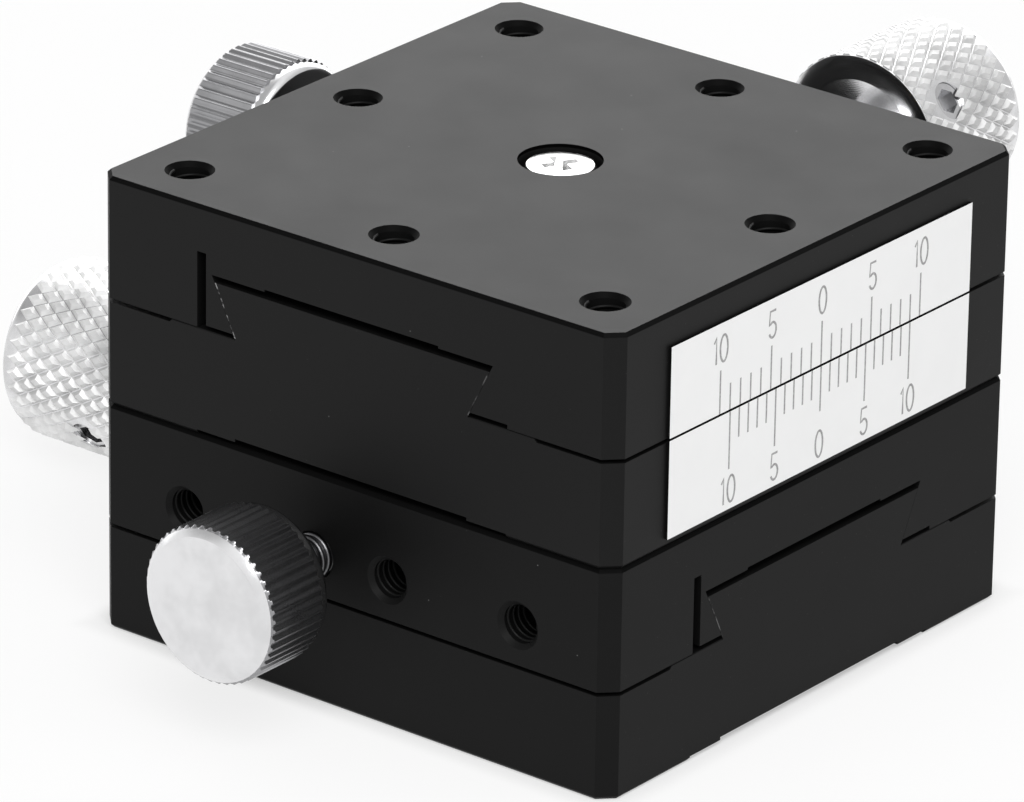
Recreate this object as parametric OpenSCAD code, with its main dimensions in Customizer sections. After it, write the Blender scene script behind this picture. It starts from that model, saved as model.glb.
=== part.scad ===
// XY translation stage: two equal screw-driven dovetail slides, stacked at right angles.
// Millimetres, +Z up, origin at the centre of the underside. The lower slide travels along X,
// the upper one along Y. Each slide is drawn once in its own frame: travel along Y, drive knob
// at +Y, gib and lock at -X, scale at +X. The lower slide is that frame turned by a quarter.

/* [Plates] */
// Side of the square plates
plate_w = 40; // [38:1:60]
// Height of one slide, base and carriage together
unit_h = 15; // [14.5:0.5:20]
// Height of a base, without its dovetail tongue
base_h = 7; // [6.5:0.25:8]
// Cut across the four upright corners
corner_cut = 1; // [0.5:0.1:2]
// Chamfer along the top edges of a carriage and the bottom edges of a base
edge_cut = 0.22; // [0.1:0.02:0.4]
// Broken edge at the sliding plane
edge_break = 0.05; // [0.03:0.01:0.1]
// Width of the two feet along the underside of a base
foot_w = 8; // [8:0.5:10]
// Depth of the relief between the feet
relief_depth = 0.3; // [0.2:0.05:0.4]
// Width of the relief's shallow sides
relief_side_w = 3; // [2.5:0.25:5]
// Depth of its middle
relief_mid_depth = 0.5; // [0.45:0.05:0.8]

/* [Dovetail] */
// Distance that a carriage travels to each side of the middle
travel = 10; // [6:0.5:11]
// Width of a plate beside the top of its dovetail tongue
rail_w = 9.4; // [9:0.1:9.8]
// Height of the tongue above its base
tongue_h = 3.3; // [3:0.1:3.5]
// Flank angle, measured from the sliding plane
flank_angle = 64; // [60:1:68]
// Running gap between the sliding faces
slide_fit = 0.02; // [0.01:0.005:0.04]
// Gap between the top of the tongue and the roof of its slot
roof_gap = 0.45; // [0.4:0.05:0.6]
// Width of the relief along the middle of the slot's roof
roof_relief_w = 13.4; // [12:0.2:14]
// Depth of that relief
roof_relief = 0.15; // [0.1:0.05:0.3]
// Distance from the sides of a base to the lands that carry the carriage
land_side = 6; // [4:0.25:6.5]
// Depth of the base's top beside its lands
land_drop = 0.2; // [0.1:0.05:0.4]
// Thickness of the springy gib where it hangs from the carriage
gib_t = 0.45; // [0.4:0.05:0.5]
// Width of the slit that frees the gib
slit_w = 0.7; // [0.5:0.05:0.7]
// Height of the slit above the sliding plane
slit_h = 5; // [4.5:0.25:5.5]
// Lift of the gib's foot, and of the other side's inner edge, off the base
gib_lift = 0.3; // [0.1:0.05:0.5]

/* [Holes] */
// Distance of the outer fixing holes from the sides of a plate
hole_inset = 4; // [3.5:0.25:4.5]
// Bore of every tapped M3 hole
tap_d = 2.5; // [2.4:0.05:2.6]
// Width of a tapped hole's chamfered mouth
tap_mouth = 3.1; // [2.9:0.1:3.4]
// Depth of the tapped holes in a carriage
tap_depth = 3.5; // [3:0.25:3.5]
// Gap between a modelled thread and its hole, radial
thread_gap = 0.03; // [0.02:0.01:0.05]
// Bore of the fixing holes through a base
clear_d = 3.4; // [3.2:0.1:3.6]
// Width of the counterbores for the cap screws
cap_bore_d = 6; // [5.8:0.1:6.4]
// Depth of those counterbores
cap_bore_depth = 3.3; // [3.2:0.1:3.6]

/* [Gib and lock] */
// Distance of the outer gib screws from the middle
gib_outer = 13; // [11:0.5:13]
// Distance of the inner gib screw from the middle
gib_inner = 3; // [3:0.25:5]
// Distance of the lock screw from the middle, on the other side
lock_side = 2.75; // [2.75:0.25:5]
// Height of these screws above the sliding plane
gib_screw_z = 2.65; // [2.4:0.05:2.8]
// Length of a gib set screw
gib_screw_l = 6; // [4:0.5:7]
// Across the flats of the hexagon socket in an M3 set screw
grub_socket = 1.5; // [1.3:0.1:1.6]
// Thread diameter of the lock screw
lock_d = 3; // [2.5:0.1:3]
// Thread pitch of the lock screw
lock_pitch = 0.5; // [0.35:0.05:0.7]
// Turns that the lower lock is backed off, the upper one being tight
lock_turns = 3; // [0:0.5:5]
// Distance from the plate to the outer end of a tight lock knob
lock_reach = 8.65; // [8:0.05:12]
// Gap between a screw's tip and the gib that it is tight against
tip_gap = 0.02; // [0.01:0.01:0.05]
// Diameter of the lock knob over its knurl
lock_knob_d = 10.1; // [9:0.1:12]
// Length of the lock knob's knurl, with its chamfered end
lock_knurl_l = 5; // [4:0.25:6]
// Height of the knurl's ridges
lock_ridge = 0.28; // [0.15:0.01:0.4]
// Number of ridges round the lock knob
lock_ridges = 50; // [40:1:72]
// Chamfer round the outer end of the lock knob
lock_chamfer = 0.5; // [0.3:0.1:0.8]
// Length of the smooth shoulder behind the knurl
lock_shoulder_l = 0.9; // [0.8:0.1:2]
// Depth of the shoulder below the tops of the ridges
lock_shoulder_step = 0.12; // [0.08:0.02:0.2]
// Rounding of the shoulder's edge
lock_round = 0.5; // [0.3:0.1:0.7]

/* [Lead screw] */
// Height of the screw's axis above the underside of its base
screw_z = 6.75; // [6.5:0.05:6.9]
// Outer diameter of the feed thread
screw_d = 5; // [4.5:0.1:5.2]
// Diameter of the plain shaft that carries the knob
shaft_d = 4; // [3.5:0.1:4.2]
// Running gap of the shaft in its bush, and of the thread in its nut, radial
shaft_gap = 0.03; // [0.02:0.01:0.05]
// Outer diameter of the bush
bush_d = 6; // [5.6:0.1:6.4]
// Diameter of the bush's flange, and of the collar that runs on it
collar_d = 7.5; // [7:0.1:7.6]
// Thickness of the bush's flange
flange_t = 1; // [0.6:0.1:1.5]
// Length of the collar
collar_l = 4; // [3:0.5:5]
// End play of the screw
end_play = 0.05; // [0.02:0.01:0.1]
// Width of the feed nut
nut_w = 9; // [8:0.5:10]
// Length of the feed nut along the screw
nut_l = 10; // [8:0.5:10]
// Wall of the nut under the screw
nut_wall = 1.25; // [1:0.05:1.4]
// Gap between the nut and the sides and floor of its pocket
nut_gap = 0.3; // [0.2:0.05:0.4]
// Spare length of the pocket past the nut's corners at each end of the travel
pocket_spare = 0.2; // [0.1:0.05:0.5]
// Corner radius of the milled pocket
pocket_r = 1.5; // [1:0.25:2.5]

/* [Nut screw] */
// Thread diameter of the screw that holds the nut
nut_screw_d = 2.5; // [2.2:0.1:2.6]
// Bore of its tapped hole in the nut
nut_tap_d = 2.05; // [1.9:0.05:2.1]
// Diameter of its pan head
pan_d = 4.5; // [4.2:0.1:4.8]
// Height of its pan head
pan_h = 1.75; // [1.5:0.05:1.8]
// Diameter of the counterbore round the head
pan_bore_d = 5.3; // [5.1:0.1:5.6]
// Depth of that counterbore
pan_bore_depth = 1.95; // [1.85:0.05:2.1]

/* [Drive knob] */
// Diameter of the drive knob over its knurl
knob_d = 12; // [10:0.5:12.5]
// Length of the drive knob
knob_l = 10; // [9:0.5:14]
// Distance from the plate to the knob
knob_stand = 11; // [11:0.5:16]
// Number of grooves of the diamond knurl, each way
knurl_count = 35; // [24:1:40]
// Angle of the grooves to the knob's axis
knurl_angle = 30; // [25:1:45]
// Depth of the grooves
knurl_depth = 0.3; // [0.15:0.05:0.4]
// Plain rim between the knob's inner face and its knurl
knurl_in = 0.25; // [0.2:0.05:1]
// Rounding of the knob's outer end
knob_round = 0.5; // [0.4:0.1:1]
// Diameter of the dished part of the knob's inner face
dish_d = 8.6; // [8:0.1:9]
// Depth of the dish
dish_depth = 0.8; // [0.4:0.1:1.2]
// Wall between the shaft's end and the knob's outer face
knob_wall = 2; // [1.5:0.25:3]
// Distance of the set screw from the knob's inner face
knob_screw_y = 3.2; // [2.6:0.1:4]
// Length of the set screw
knob_screw_l = 3.5; // [2:0.25:3.5]
// Turn of the upper knob's set screw about the shaft, in degrees from level
upper_screw_angle = 35; // [0:5:355]
// Turn of the lower knob's set screw, in degrees
lower_screw_angle = 215; // [0:5:355]

/* [Scale] */
// Length of the scale plates
scale_l = 30; // [24:1:32]
// Height of the plate with the main scale, on the carriage
main_scale_h = 5.85; // [5:0.05:6.5]
// Height of the plate with the vernier, on the base
vernier_scale_h = 6.35; // [5:0.05:6.35]
// Thickness of the scale plates
scale_t = 0.2; // [0.1:0.05:0.5]
// Gap between the two plates at the sliding plane
scale_gap = 0.12; // [0.06:0.01:0.3]

/* [Stack screws] */
// Thread diameter of the cap screws that hold the slides together
cap_screw_d = 3; // [2.9:0.05:3.1]
// Head diameter of the cap screws
cap_head_d = 5.5; // [5.3:0.1:5.6]
// Head height of the cap screws
cap_head_h = 3; // [2.8:0.1:3]
// Across the flats of their hexagon socket
cap_socket = 2.5; // [2:0.1:2.6]

/* [Hidden] */
$fn = 96;
over = 1;
half_w = plate_w / 2;
relief_w = plate_w - 2 * foot_w;
relief_mid_w = relief_w - 2 * relief_side_w;
tongue_w = plate_w - 2 * rail_w;
hole_pitch = half_w - hole_inset;
corner_w = (2 * plate_w - 2 * corner_cut) / sqrt(2);
carriage_z = base_h + slide_fit;
carriage_h = unit_h - carriage_z;
lean = 1 / tan(flank_angle);
neck_half = tongue_w / 2 - tongue_h * lean;
slot_neck = neck_half + slide_fit / sin(flank_angle);
slot_h = tongue_h + roof_gap;
roof_half = slot_neck + slot_h * lean;
roof_z = base_h + slot_h;
seat_z = roof_z + roof_relief;
gib_wall = roof_half + gib_t;
land_in = gib_wall + slit_w;
land_out = half_w - land_side;
tap_chamfer = (tap_mouth - tap_d) / 2;
thread_d = tap_d - 2 * thread_gap;
screw_line_z = base_h + gib_screw_z;
gib_places = [-gib_outer, -gib_inner, gib_outer];
corners = [for (sx = [-1, 1], sy = [-1, 1]) [sx, sy]];
grid = [for (x = [-1:1], y = [-1:1]) if (x != 0 || y != 0) [x, y]];
nut_floor = screw_z - screw_d / 2 - nut_wall;
pocket_floor = nut_floor - nut_gap;
pocket_w = nut_w + 2 * nut_gap;
pocket_corner = pocket_r - sqrt(pow(pocket_r, 2) - pow(pocket_r - nut_gap, 2));
pocket_half = travel + nut_l / 2 + pocket_corner + pocket_spare;
flange_y = half_w + flange_t;
collar_y = flange_y + end_play;
knob_y = half_w + knob_stand;
knob_end = knob_y + knob_l;
shaft_end = knob_end - knob_wall;
lock_out = half_w + lock_reach;
lock_back_off = lock_turns * lock_pitch;
lock_l = lock_knurl_l + lock_shoulder_l;
seam = 0.05;
knurl_l = knob_l - knurl_in - knob_round - seam;
knurl_row = PI * knob_d / knurl_count / tan(knurl_angle) / 2;
knurl_rows = round(knurl_l / knurl_row);
socket_depth = 1.2;
hex = 2 / sqrt(3);
graphite = [0.10, 0.10, 0.11];
bright_steel = [0.78, 0.78, 0.80];
dark_steel = [0.30, 0.30, 0.32];
bronze = [0.72, 0.55, 0.30];
white_plate = [0.93, 0.93, 0.93];

// Places of the two slides
module lower() {
    rotate([0, 0, 90])
        children();
}

module upper() {
    translate([0, 0, unit_h])
        children();
}

// Directions of drilled and turned pieces: each starts at the origin and runs along the named way
module along_y() {
    rotate([-90, 0, 0])
        children();
}

module along_x() {
    rotate([0, 90, 0])
        children();
}

module on_screw_axis(y) {
    translate([0, y, screw_z])
        along_y()
            children();
}

// Square plate with cut corners and chamfered edges, standing on z = 0
module plate(h, low_cut, high_cut) {
    intersection_for (turn = [0:45:135])
        rotate([0, 0, turn])
            rotate([90, 0, 0])
                linear_extrude(2 * plate_w, center = true)
                    chamfered_section(turn % 90 == 0 ? half_w : corner_w / 2, h, low_cut, high_cut);
}

module chamfered_section(side, h, low_cut, high_cut) {
    polygon([[low_cut - side, 0], [side - low_cut, 0], [side, low_cut], [side, h - high_cut],
        [side - high_cut, h], [high_cut - side, h], [-side, h - high_cut], [-side, low_cut]]);
}

// Straight channel along the travel, w wide and from z = low to z = high
module channel(w, low, high) {
    translate([-w / 2, -plate_w, low])
        cube([w, 2 * plate_w, high - low]);
}

// Section of a dovetail with its neck on the sliding plane and a straight foot below it
module dovetail_section(neck, h, foot) {
    top = neck + h * lean;
    polygon([[-neck, -foot], [neck, -foot], [neck, 0], [top, h], [-top, h], [-neck, 0]]);
}

module dovetail(neck, h, foot, l) {
    translate([0, 0, base_h])
        rotate([90, 0, 0])
            linear_extrude(l, center = true)
                dovetail_section(neck, h, foot);
}

// Tapped hole with a chamfered mouth at the origin, drilled along -Z
module tapped_hole(depth) {
    translate([0, 0, -depth])
        cylinder(h = depth + over, d = tap_d);
    translate([0, 0, -tap_chamfer])
        cylinder(h = tap_chamfer, d1 = tap_d, d2 = tap_mouth);
    cylinder(h = over, d = tap_mouth);
}

// Tapped hole that holds a cap screw, at the outer diameter of its thread
module filled_hole(depth) {
    translate([0, 0, -depth])
        cylinder(h = depth + over, d = cap_screw_d + 2 * thread_gap);
}

// Hole for a cap screw, with its counterbore sunk from the sliding plane
module cap_hole() {
    translate([0, 0, -over])
        cylinder(h = base_h + 2 * over, d = clear_d);
    translate([0, 0, base_h - cap_bore_depth])
        cylinder(h = cap_bore_depth + over, d = cap_bore_d);
}

// Milled pocket with round corners
module pocket(w, l, h) {
    for (side = [-1, 1], end = [-1, 1])
        translate([side * (w / 2 - pocket_r), end * (l / 2 - pocket_r), 0])
            cylinder(h = h, r = pocket_r);
    translate([-w / 2, pocket_r - l / 2, 0])
        cube([w, l - 2 * pocket_r, h]);
    translate([pocket_r - w / 2, -l / 2, 0])
        cube([w - 2 * pocket_r, l, h]);
}

// Headless screw with a hexagon socket, tip at the origin, running along +Z
module set_screw(d, l) {
    difference() {
        cylinder(h = l, d = d);
        translate([0, 0, l - socket_depth])
            cylinder(h = socket_depth + over, d = grub_socket * hex, $fn = 6);
    }
}

// Base: plate with a dovetail tongue, a pocket for the feed nut and a bore for the screw's bush
module base() {
    color(graphite)
        difference() {
            union() {
                plate(base_h, edge_cut, edge_break);
                dovetail(neck_half, tongue_h, 2 * edge_break, plate_w);
            }
            channel(relief_w, -over, relief_depth);
            channel(relief_mid_w, -over, relief_mid_depth);
            outer_drop();
            mirror([1, 0, 0])
                outer_drop();
            for (c = corners)
                translate([c.x * hole_pitch, c.y * hole_pitch, 0])
                    cap_hole();
            translate([0, 0, pocket_floor])
                pocket(pocket_w, 2 * pocket_half, base_h + tongue_h);
            on_screw_axis(pocket_half - over)
                cylinder(h = half_w, d = bush_d);
        }
}

// Lowered strip of a base beyond its land, with a sloped edge
module outer_drop() {
    translate([0, 0, base_h])
        rotate([90, 0, 0])
            linear_extrude(2 * plate_w, center = true)
                polygon([[land_out, 0], [land_out + land_drop, -land_drop], [plate_w, -land_drop],
                    [plate_w, over], [land_out, over]]);
}

// Carriage: plate with a dovetail slot, one flank of which is a gib cut free by a slit.
// The corner holes of a carriage that carries another slide are filled by the stack screws.
module carriage(carries_slide) {
    color(graphite)
        difference() {
            translate([0, 0, carriage_z])
                plate(carriage_h, edge_break, edge_cut);
            dovetail(slot_neck, slot_h, over, 2 * plate_w);
            channel(roof_relief_w, base_h, seat_z);
            channel(2 * land_in, base_h - over, carriage_z + gib_lift);
            gib_slit();
            side_holes();
            for (g = grid)
                translate([g.x * hole_pitch, g.y * hole_pitch, unit_h])
                    if (carries_slide && g.x * g.y != 0)
                        filled_hole(tap_depth);
                    else
                        tapped_hole(tap_depth);
            translate([0, 0, unit_h - pan_bore_depth])
                cylinder(h = pan_bore_depth + over, d = pan_bore_d);
            translate([0, 0, roof_z - over])
                cylinder(h = unit_h, d = nut_screw_d + 2 * thread_gap);
        }
}

module gib_slit() {
    translate([-gib_wall - slit_w, -plate_w, 0])
        cube([slit_w, 2 * plate_w, base_h + slit_h]);
}

module side_holes() {
    depth = half_w - gib_wall - slit_w / 2;
    for (y = gib_places)
        translate([-half_w, y, screw_line_z])
            rotate([0, -90, 0])
                tapped_hole(depth);
    translate([-half_w - over, lock_side, screw_line_z])
        along_x()
            cylinder(h = depth + over, d = lock_d + 2 * thread_gap);
}

// Three set screws that press the gib against the tongue
module gib_screws() {
    color(dark_steel)
        for (y = gib_places)
            translate([-gib_wall - tip_gap, y, screw_line_z])
                rotate([0, -90, 0])
                    set_screw(thread_d, gib_screw_l);
}

// Lead screw: feed thread inside the base, plain shaft through the bush and out to the knob
module lead_screw() {
    shoulder = pocket_half - end_play;
    color(bright_steel) {
        on_screw_axis(-pocket_half + pocket_spare)
            cylinder(h = shoulder + pocket_half - pocket_spare, d = screw_d);
        on_screw_axis(shoulder)
            cylinder(h = shaft_end - shoulder, d = shaft_d);
    }
}

module screw_bush() {
    bore = shaft_d + 2 * shaft_gap;
    color(bronze)
        difference() {
            union() {
                on_screw_axis(pocket_half)
                    cylinder(h = half_w - pocket_half, d = bush_d);
                on_screw_axis(half_w)
                    cylinder(h = flange_t, d = collar_d);
            }
            on_screw_axis(pocket_half - over)
                cylinder(h = plate_w, d = bore);
        }
}

// Collar that holds the screw against the bush, clamped by its own set screw
module shaft_collar() {
    color(dark_steel)
        difference() {
            on_screw_axis(collar_y)
                cylinder(h = collar_l, d = collar_d);
            on_screw_axis(collar_y - over)
                cylinder(h = collar_l + 2 * over, d = shaft_d);
            translate([0, collar_y + collar_l / 2, screw_z])
                cylinder(h = collar_d, d = nut_tap_d);
        }
}

module collar_screw() {
    color(dark_steel)
        translate([0, collar_y + collar_l / 2, screw_z + shaft_d / 2])
            cylinder(h = (collar_d - shaft_d) / 2, d = nut_tap_d - 2 * thread_gap);
}

// Feed nut: block that hangs under the carriage in the base's pocket
module feed_nut() {
    color(bronze)
        difference() {
            translate([-nut_w / 2, -nut_l / 2, nut_floor])
                cube([nut_w, nut_l, seat_z - nut_floor]);
            on_screw_axis(-nut_l)
                cylinder(h = 2 * nut_l, d = screw_d + 2 * shaft_gap);
            translate([0, 0, screw_z])
                cylinder(h = unit_h, d = nut_tap_d);
        }
}

// Pan head screw that holds the nut, with a cross recess
module nut_screw() {
    seat = unit_h - pan_bore_depth;
    tip = screw_z + screw_d / 2 + 2 * nut_gap / 3;
    color(bright_steel)
        difference() {
            union() {
                translate([0, 0, seat])
                    pan_head();
                translate([0, 0, seat_z])
                    cylinder(h = seat - seat_z, d = nut_screw_d);
                translate([0, 0, tip])
                    cylinder(h = seat_z - tip, d = nut_tap_d - 2 * thread_gap);
            }
            translate([0, 0, seat + pan_h - pan_h / 2])
                cross_recess();
        }
}

module pan_head() {
    crown = pan_d;
    intersection() {
        cylinder(h = pan_h, d = pan_d);
        translate([0, 0, pan_h - crown])
            sphere(r = crown);
    }
}

module cross_recess() {
    wing = pan_d * 0.52;
    slot = pan_d * 0.13;
    for (turn = [45, 135])
        rotate([0, 0, turn])
            translate([-wing / 2, -slot / 2, 0])
                cube([wing, slot, pan_h]);
}

// Points of a round corner, from angle a to angle b about its middle
function bend(x, y, r, a, b) =
    [for (i = [0:6]) let (t = a + (b - a) * i / 6) [x + r * cos(t), y + r * sin(t)]];

// Drive knob: diamond knurled grip with a rounded outer end and a dished inner face
module drive_knob(screw_turn) {
    rim = knob_d / 2;
    core = rim - knurl_depth - seam;
    tip = core - knurl_depth;
    color(bright_steel)
        difference() {
            on_screw_axis(knob_y) {
                rotate_extrude()
                    polygon(concat([[0, 0], [core - seam, 0], [core, seam], [core, knurl_in + seam],
                        [tip, knurl_in + seam]],
                        bend(tip - knob_round, knob_l - knob_round, knob_round, 0, 90), [[0, knob_l]]));
                translate([0, 0, knurl_in])
                    diamond_knurl(rim, knurl_depth, knurl_count, knurl_rows, knurl_l / knurl_rows);
            }
            on_screw_axis(knob_y)
                rotate_extrude()
                    polygon([[0, -over], [dish_d / 2, -over], [dish_d / 2, 0], [shaft_d / 2, dish_depth],
                        [0, dish_depth]]);
            on_screw_axis(knob_y - over)
                cylinder(h = shaft_end - knob_y + over, d = shaft_d);
            knob_screw_place(screw_turn)
                cylinder(h = knob_d, d = tap_d);
        }
}

// Sleeve of crossed grooves along +Z. Each ring of points alternates between tops of the diamonds
// and crossings of the grooves, the next ring is shifted by one, and the last one lies lower. The
// ends fall in a little towards the axis.
module diamond_knurl(rim, depth, starts, rows, row_h) {
    n = 2 * starts;
    points = [for (j = [0:rows], m = [0:n - 1])
        let (r = rim - ((m + j) % 2 == 0 ? depth : 0) - (j == rows ? depth : 0), t = m * 180 / starts)
            [r * cos(t), r * sin(t), j * row_h]];
    sides = [for (j = [0:rows - 1], m = [0:n - 1])
        let (a = j * n + m, b = j * n + (m + 1) % n, c = b + n, d = a + n)
            each (m + j) % 2 == 0 ? [[a, d, c], [a, c, b]] : [[a, d, b], [b, d, c]]];
    last = rows * n;
    ends = [[0, 0, row_h / 4], [0, 0, (rows - 1 / 4) * row_h]];
    low = [for (m = [0:n - 1]) [last + n, m, (m + 1) % n]];
    high = [for (m = [0:n - 1]) [last + n + 1, last + (m + 1) % n, last + m]];
    polyhedron(concat(points, ends), concat(low, sides, high));
}

// Radial place of a knob's set screw, with its tip on the shaft
module knob_screw_place(turn) {
    translate([0, knob_y + knob_screw_y, screw_z])
        rotate([0, 90 - turn, 0])
            translate([0, 0, shaft_d / 2])
                children();
}

module knob_screw(turn) {
    color(bright_steel)
        knob_screw_place(turn)
            set_screw(thread_d, knob_screw_l);
}

// Lock screw, with its tip at the gib when it is tight
module lock_stud(back_off) {
    inner = gib_wall + tip_gap + back_off;
    outer = lock_out + back_off - lock_l / 2;
    color(bright_steel)
        translate([-outer, lock_side, screw_line_z])
            along_x()
                cylinder(h = outer - inner, d = lock_d);
}

// Lock knob: straight knurl with a chamfered end and a smooth shoulder, on the end of the lock screw
module lock_knob(back_off) {
    rim = lock_knob_d / 2;
    shoulder = rim - lock_shoulder_step;
    color(bright_steel)
        translate([-lock_out - back_off, lock_side, screw_line_z])
            along_x()
                difference() {
                    union() {
                        translate([0, 0, lock_chamfer])
                            linear_extrude(lock_knurl_l - lock_chamfer)
                                ridged_disc(rim, lock_ridge, lock_ridges);
                        translate([0, 0, lock_chamfer])
                            mirror([0, 0, 1])
                                linear_extrude(lock_chamfer, scale = (rim - lock_chamfer) / rim)
                                    ridged_disc(rim, lock_ridge, lock_ridges);
                        translate([0, 0, lock_knurl_l])
                            rotate_extrude()
                                polygon(concat([[0, 0], [shoulder, 0]],
                                    bend(shoulder - lock_round, lock_shoulder_l - lock_round,
                                        lock_round, 0, 90), [[0, lock_shoulder_l]]));
                    }
                    translate([0, 0, lock_l / 2])
                        cylinder(h = plate_w, d = lock_d + 2 * shaft_gap);
                }
}

// Disc with straight ridges round its rim
module ridged_disc(rim, ridge, count) {
    step = 180 / count;
    polygon([for (i = [0:2 * count - 1])
        let (r = rim - (i % 2) * ridge) [r * cos(i * step), r * sin(i * step)]]);
}

// Scale plates on the +X side, meeting at the sliding plane
module main_scale() {
    color(white_plate)
        translate([half_w, -scale_l / 2, base_h + scale_gap / 2])
            cube([scale_t, scale_l, main_scale_h]);
}

module vernier_scale() {
    color(white_plate)
        translate([half_w, -scale_l / 2, base_h - scale_gap / 2 - vernier_scale_h])
            cube([scale_t, scale_l, vernier_scale_h]);
}

// Cap screws through the upper base into the lower carriage
module stack_screws() {
    seat = base_h - cap_bore_depth;
    thread_l = tap_depth - nut_gap;
    color(dark_steel)
        upper()
            for (c = corners)
                translate([c.x * hole_pitch, c.y * hole_pitch, 0])
                    difference() {
                        union() {
                            translate([0, 0, seat])
                                cylinder(h = cap_head_h, d = cap_head_d);
                            translate([0, 0, -thread_l])
                                cylinder(h = seat + thread_l, d = cap_screw_d);
                        }
                        translate([0, 0, seat + cap_head_h - socket_depth])
                            cylinder(h = socket_depth + over, d = cap_socket * hex, $fn = 6);
                    }
}

lower() base();  // lower_base
lower() carriage(true);  // lower_carriage
lower() lead_screw();  // lower_lead_screw
lower() screw_bush();  // lower_screw_bush
lower() shaft_collar();  // lower_shaft_collar
lower() collar_screw();  // lower_collar_screw
lower() feed_nut();  // lower_feed_nut
lower() nut_screw();  // lower_nut_screw
lower() drive_knob(lower_screw_angle);  // lower_drive_knob
lower() knob_screw(lower_screw_angle);  // lower_knob_screw
lower() lock_stud(lock_back_off);  // lower_lock_stud
lower() lock_knob(lock_back_off);  // lower_lock_knob
lower() gib_screws();  // lower_gib_screws
stack_screws();
upper() base();  // upper_base
upper() carriage(false);  // upper_carriage
upper() lead_screw();  // upper_lead_screw
upper() screw_bush();  // upper_screw_bush
upper() shaft_collar();  // upper_shaft_collar
upper() collar_screw();  // upper_collar_screw
upper() feed_nut();  // upper_feed_nut
upper() nut_screw();  // upper_nut_screw
upper() drive_knob(upper_screw_angle);  // upper_drive_knob
upper() knob_screw(upper_screw_angle);  // upper_knob_screw
upper() lock_stud(0);  // upper_lock_stud
upper() lock_knob(0);  // upper_lock_knob
upper() gib_screws();  // upper_gib_screws
upper() main_scale();  // main_scale_plate
upper() vernier_scale();  // vernier_scale_plate
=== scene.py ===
"""Dressed scene of a two-axis dovetail translation stage.

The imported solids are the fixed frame. This script adds what the solids leave plain, such as knurls,
screw threads, a cross-recess screw head and printed scales. It then gives every piece a procedural
finish and sets up the studio. Lengths are in metres in the frame of the solids, and in millimetres
where a class says so.
"""

import logging
import math
from dataclasses import dataclass
from enum import Enum
from typing import Any, Mapping, Optional, Sequence, Union

import bmesh
import bpy
from mathutils import Matrix, Vector


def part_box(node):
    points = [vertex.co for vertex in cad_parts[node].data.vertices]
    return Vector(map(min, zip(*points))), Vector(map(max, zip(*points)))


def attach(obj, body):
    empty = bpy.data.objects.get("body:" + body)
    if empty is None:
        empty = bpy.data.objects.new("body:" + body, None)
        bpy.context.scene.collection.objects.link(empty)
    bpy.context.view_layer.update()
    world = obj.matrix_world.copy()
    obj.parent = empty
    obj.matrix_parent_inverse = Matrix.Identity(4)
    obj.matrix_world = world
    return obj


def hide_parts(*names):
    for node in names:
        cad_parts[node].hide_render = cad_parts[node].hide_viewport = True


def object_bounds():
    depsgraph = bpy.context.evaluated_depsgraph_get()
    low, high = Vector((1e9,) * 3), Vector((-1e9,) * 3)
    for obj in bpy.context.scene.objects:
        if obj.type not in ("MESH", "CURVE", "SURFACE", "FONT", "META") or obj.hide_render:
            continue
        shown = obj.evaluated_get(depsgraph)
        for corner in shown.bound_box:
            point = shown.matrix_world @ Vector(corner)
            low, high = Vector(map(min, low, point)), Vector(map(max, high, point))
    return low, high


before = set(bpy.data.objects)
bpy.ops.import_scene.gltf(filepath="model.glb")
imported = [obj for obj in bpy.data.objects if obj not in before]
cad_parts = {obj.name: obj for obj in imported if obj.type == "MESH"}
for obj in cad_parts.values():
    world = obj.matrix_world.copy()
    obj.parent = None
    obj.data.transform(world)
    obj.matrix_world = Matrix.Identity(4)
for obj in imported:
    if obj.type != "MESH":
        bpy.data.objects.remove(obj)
CAD_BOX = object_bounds()
LOG = logging.getLogger("translation_stage")
MM = 0.001
SLIDE_HEIGHT = 15 * MM
QUARTER_TURN = math.pi / 2
FULL_TURN = 2 * math.pi
NOISE_ROUGHNESS = 0.55
TINY = 1e-9
Point = tuple[float, float]
Triple = tuple[float, float, float]
Number = Union[float, "Value"]


class Axis(Enum):
    """Direction of a turned piece's axis."""

    X = 0
    Y = 1
    Z = 2


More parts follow.
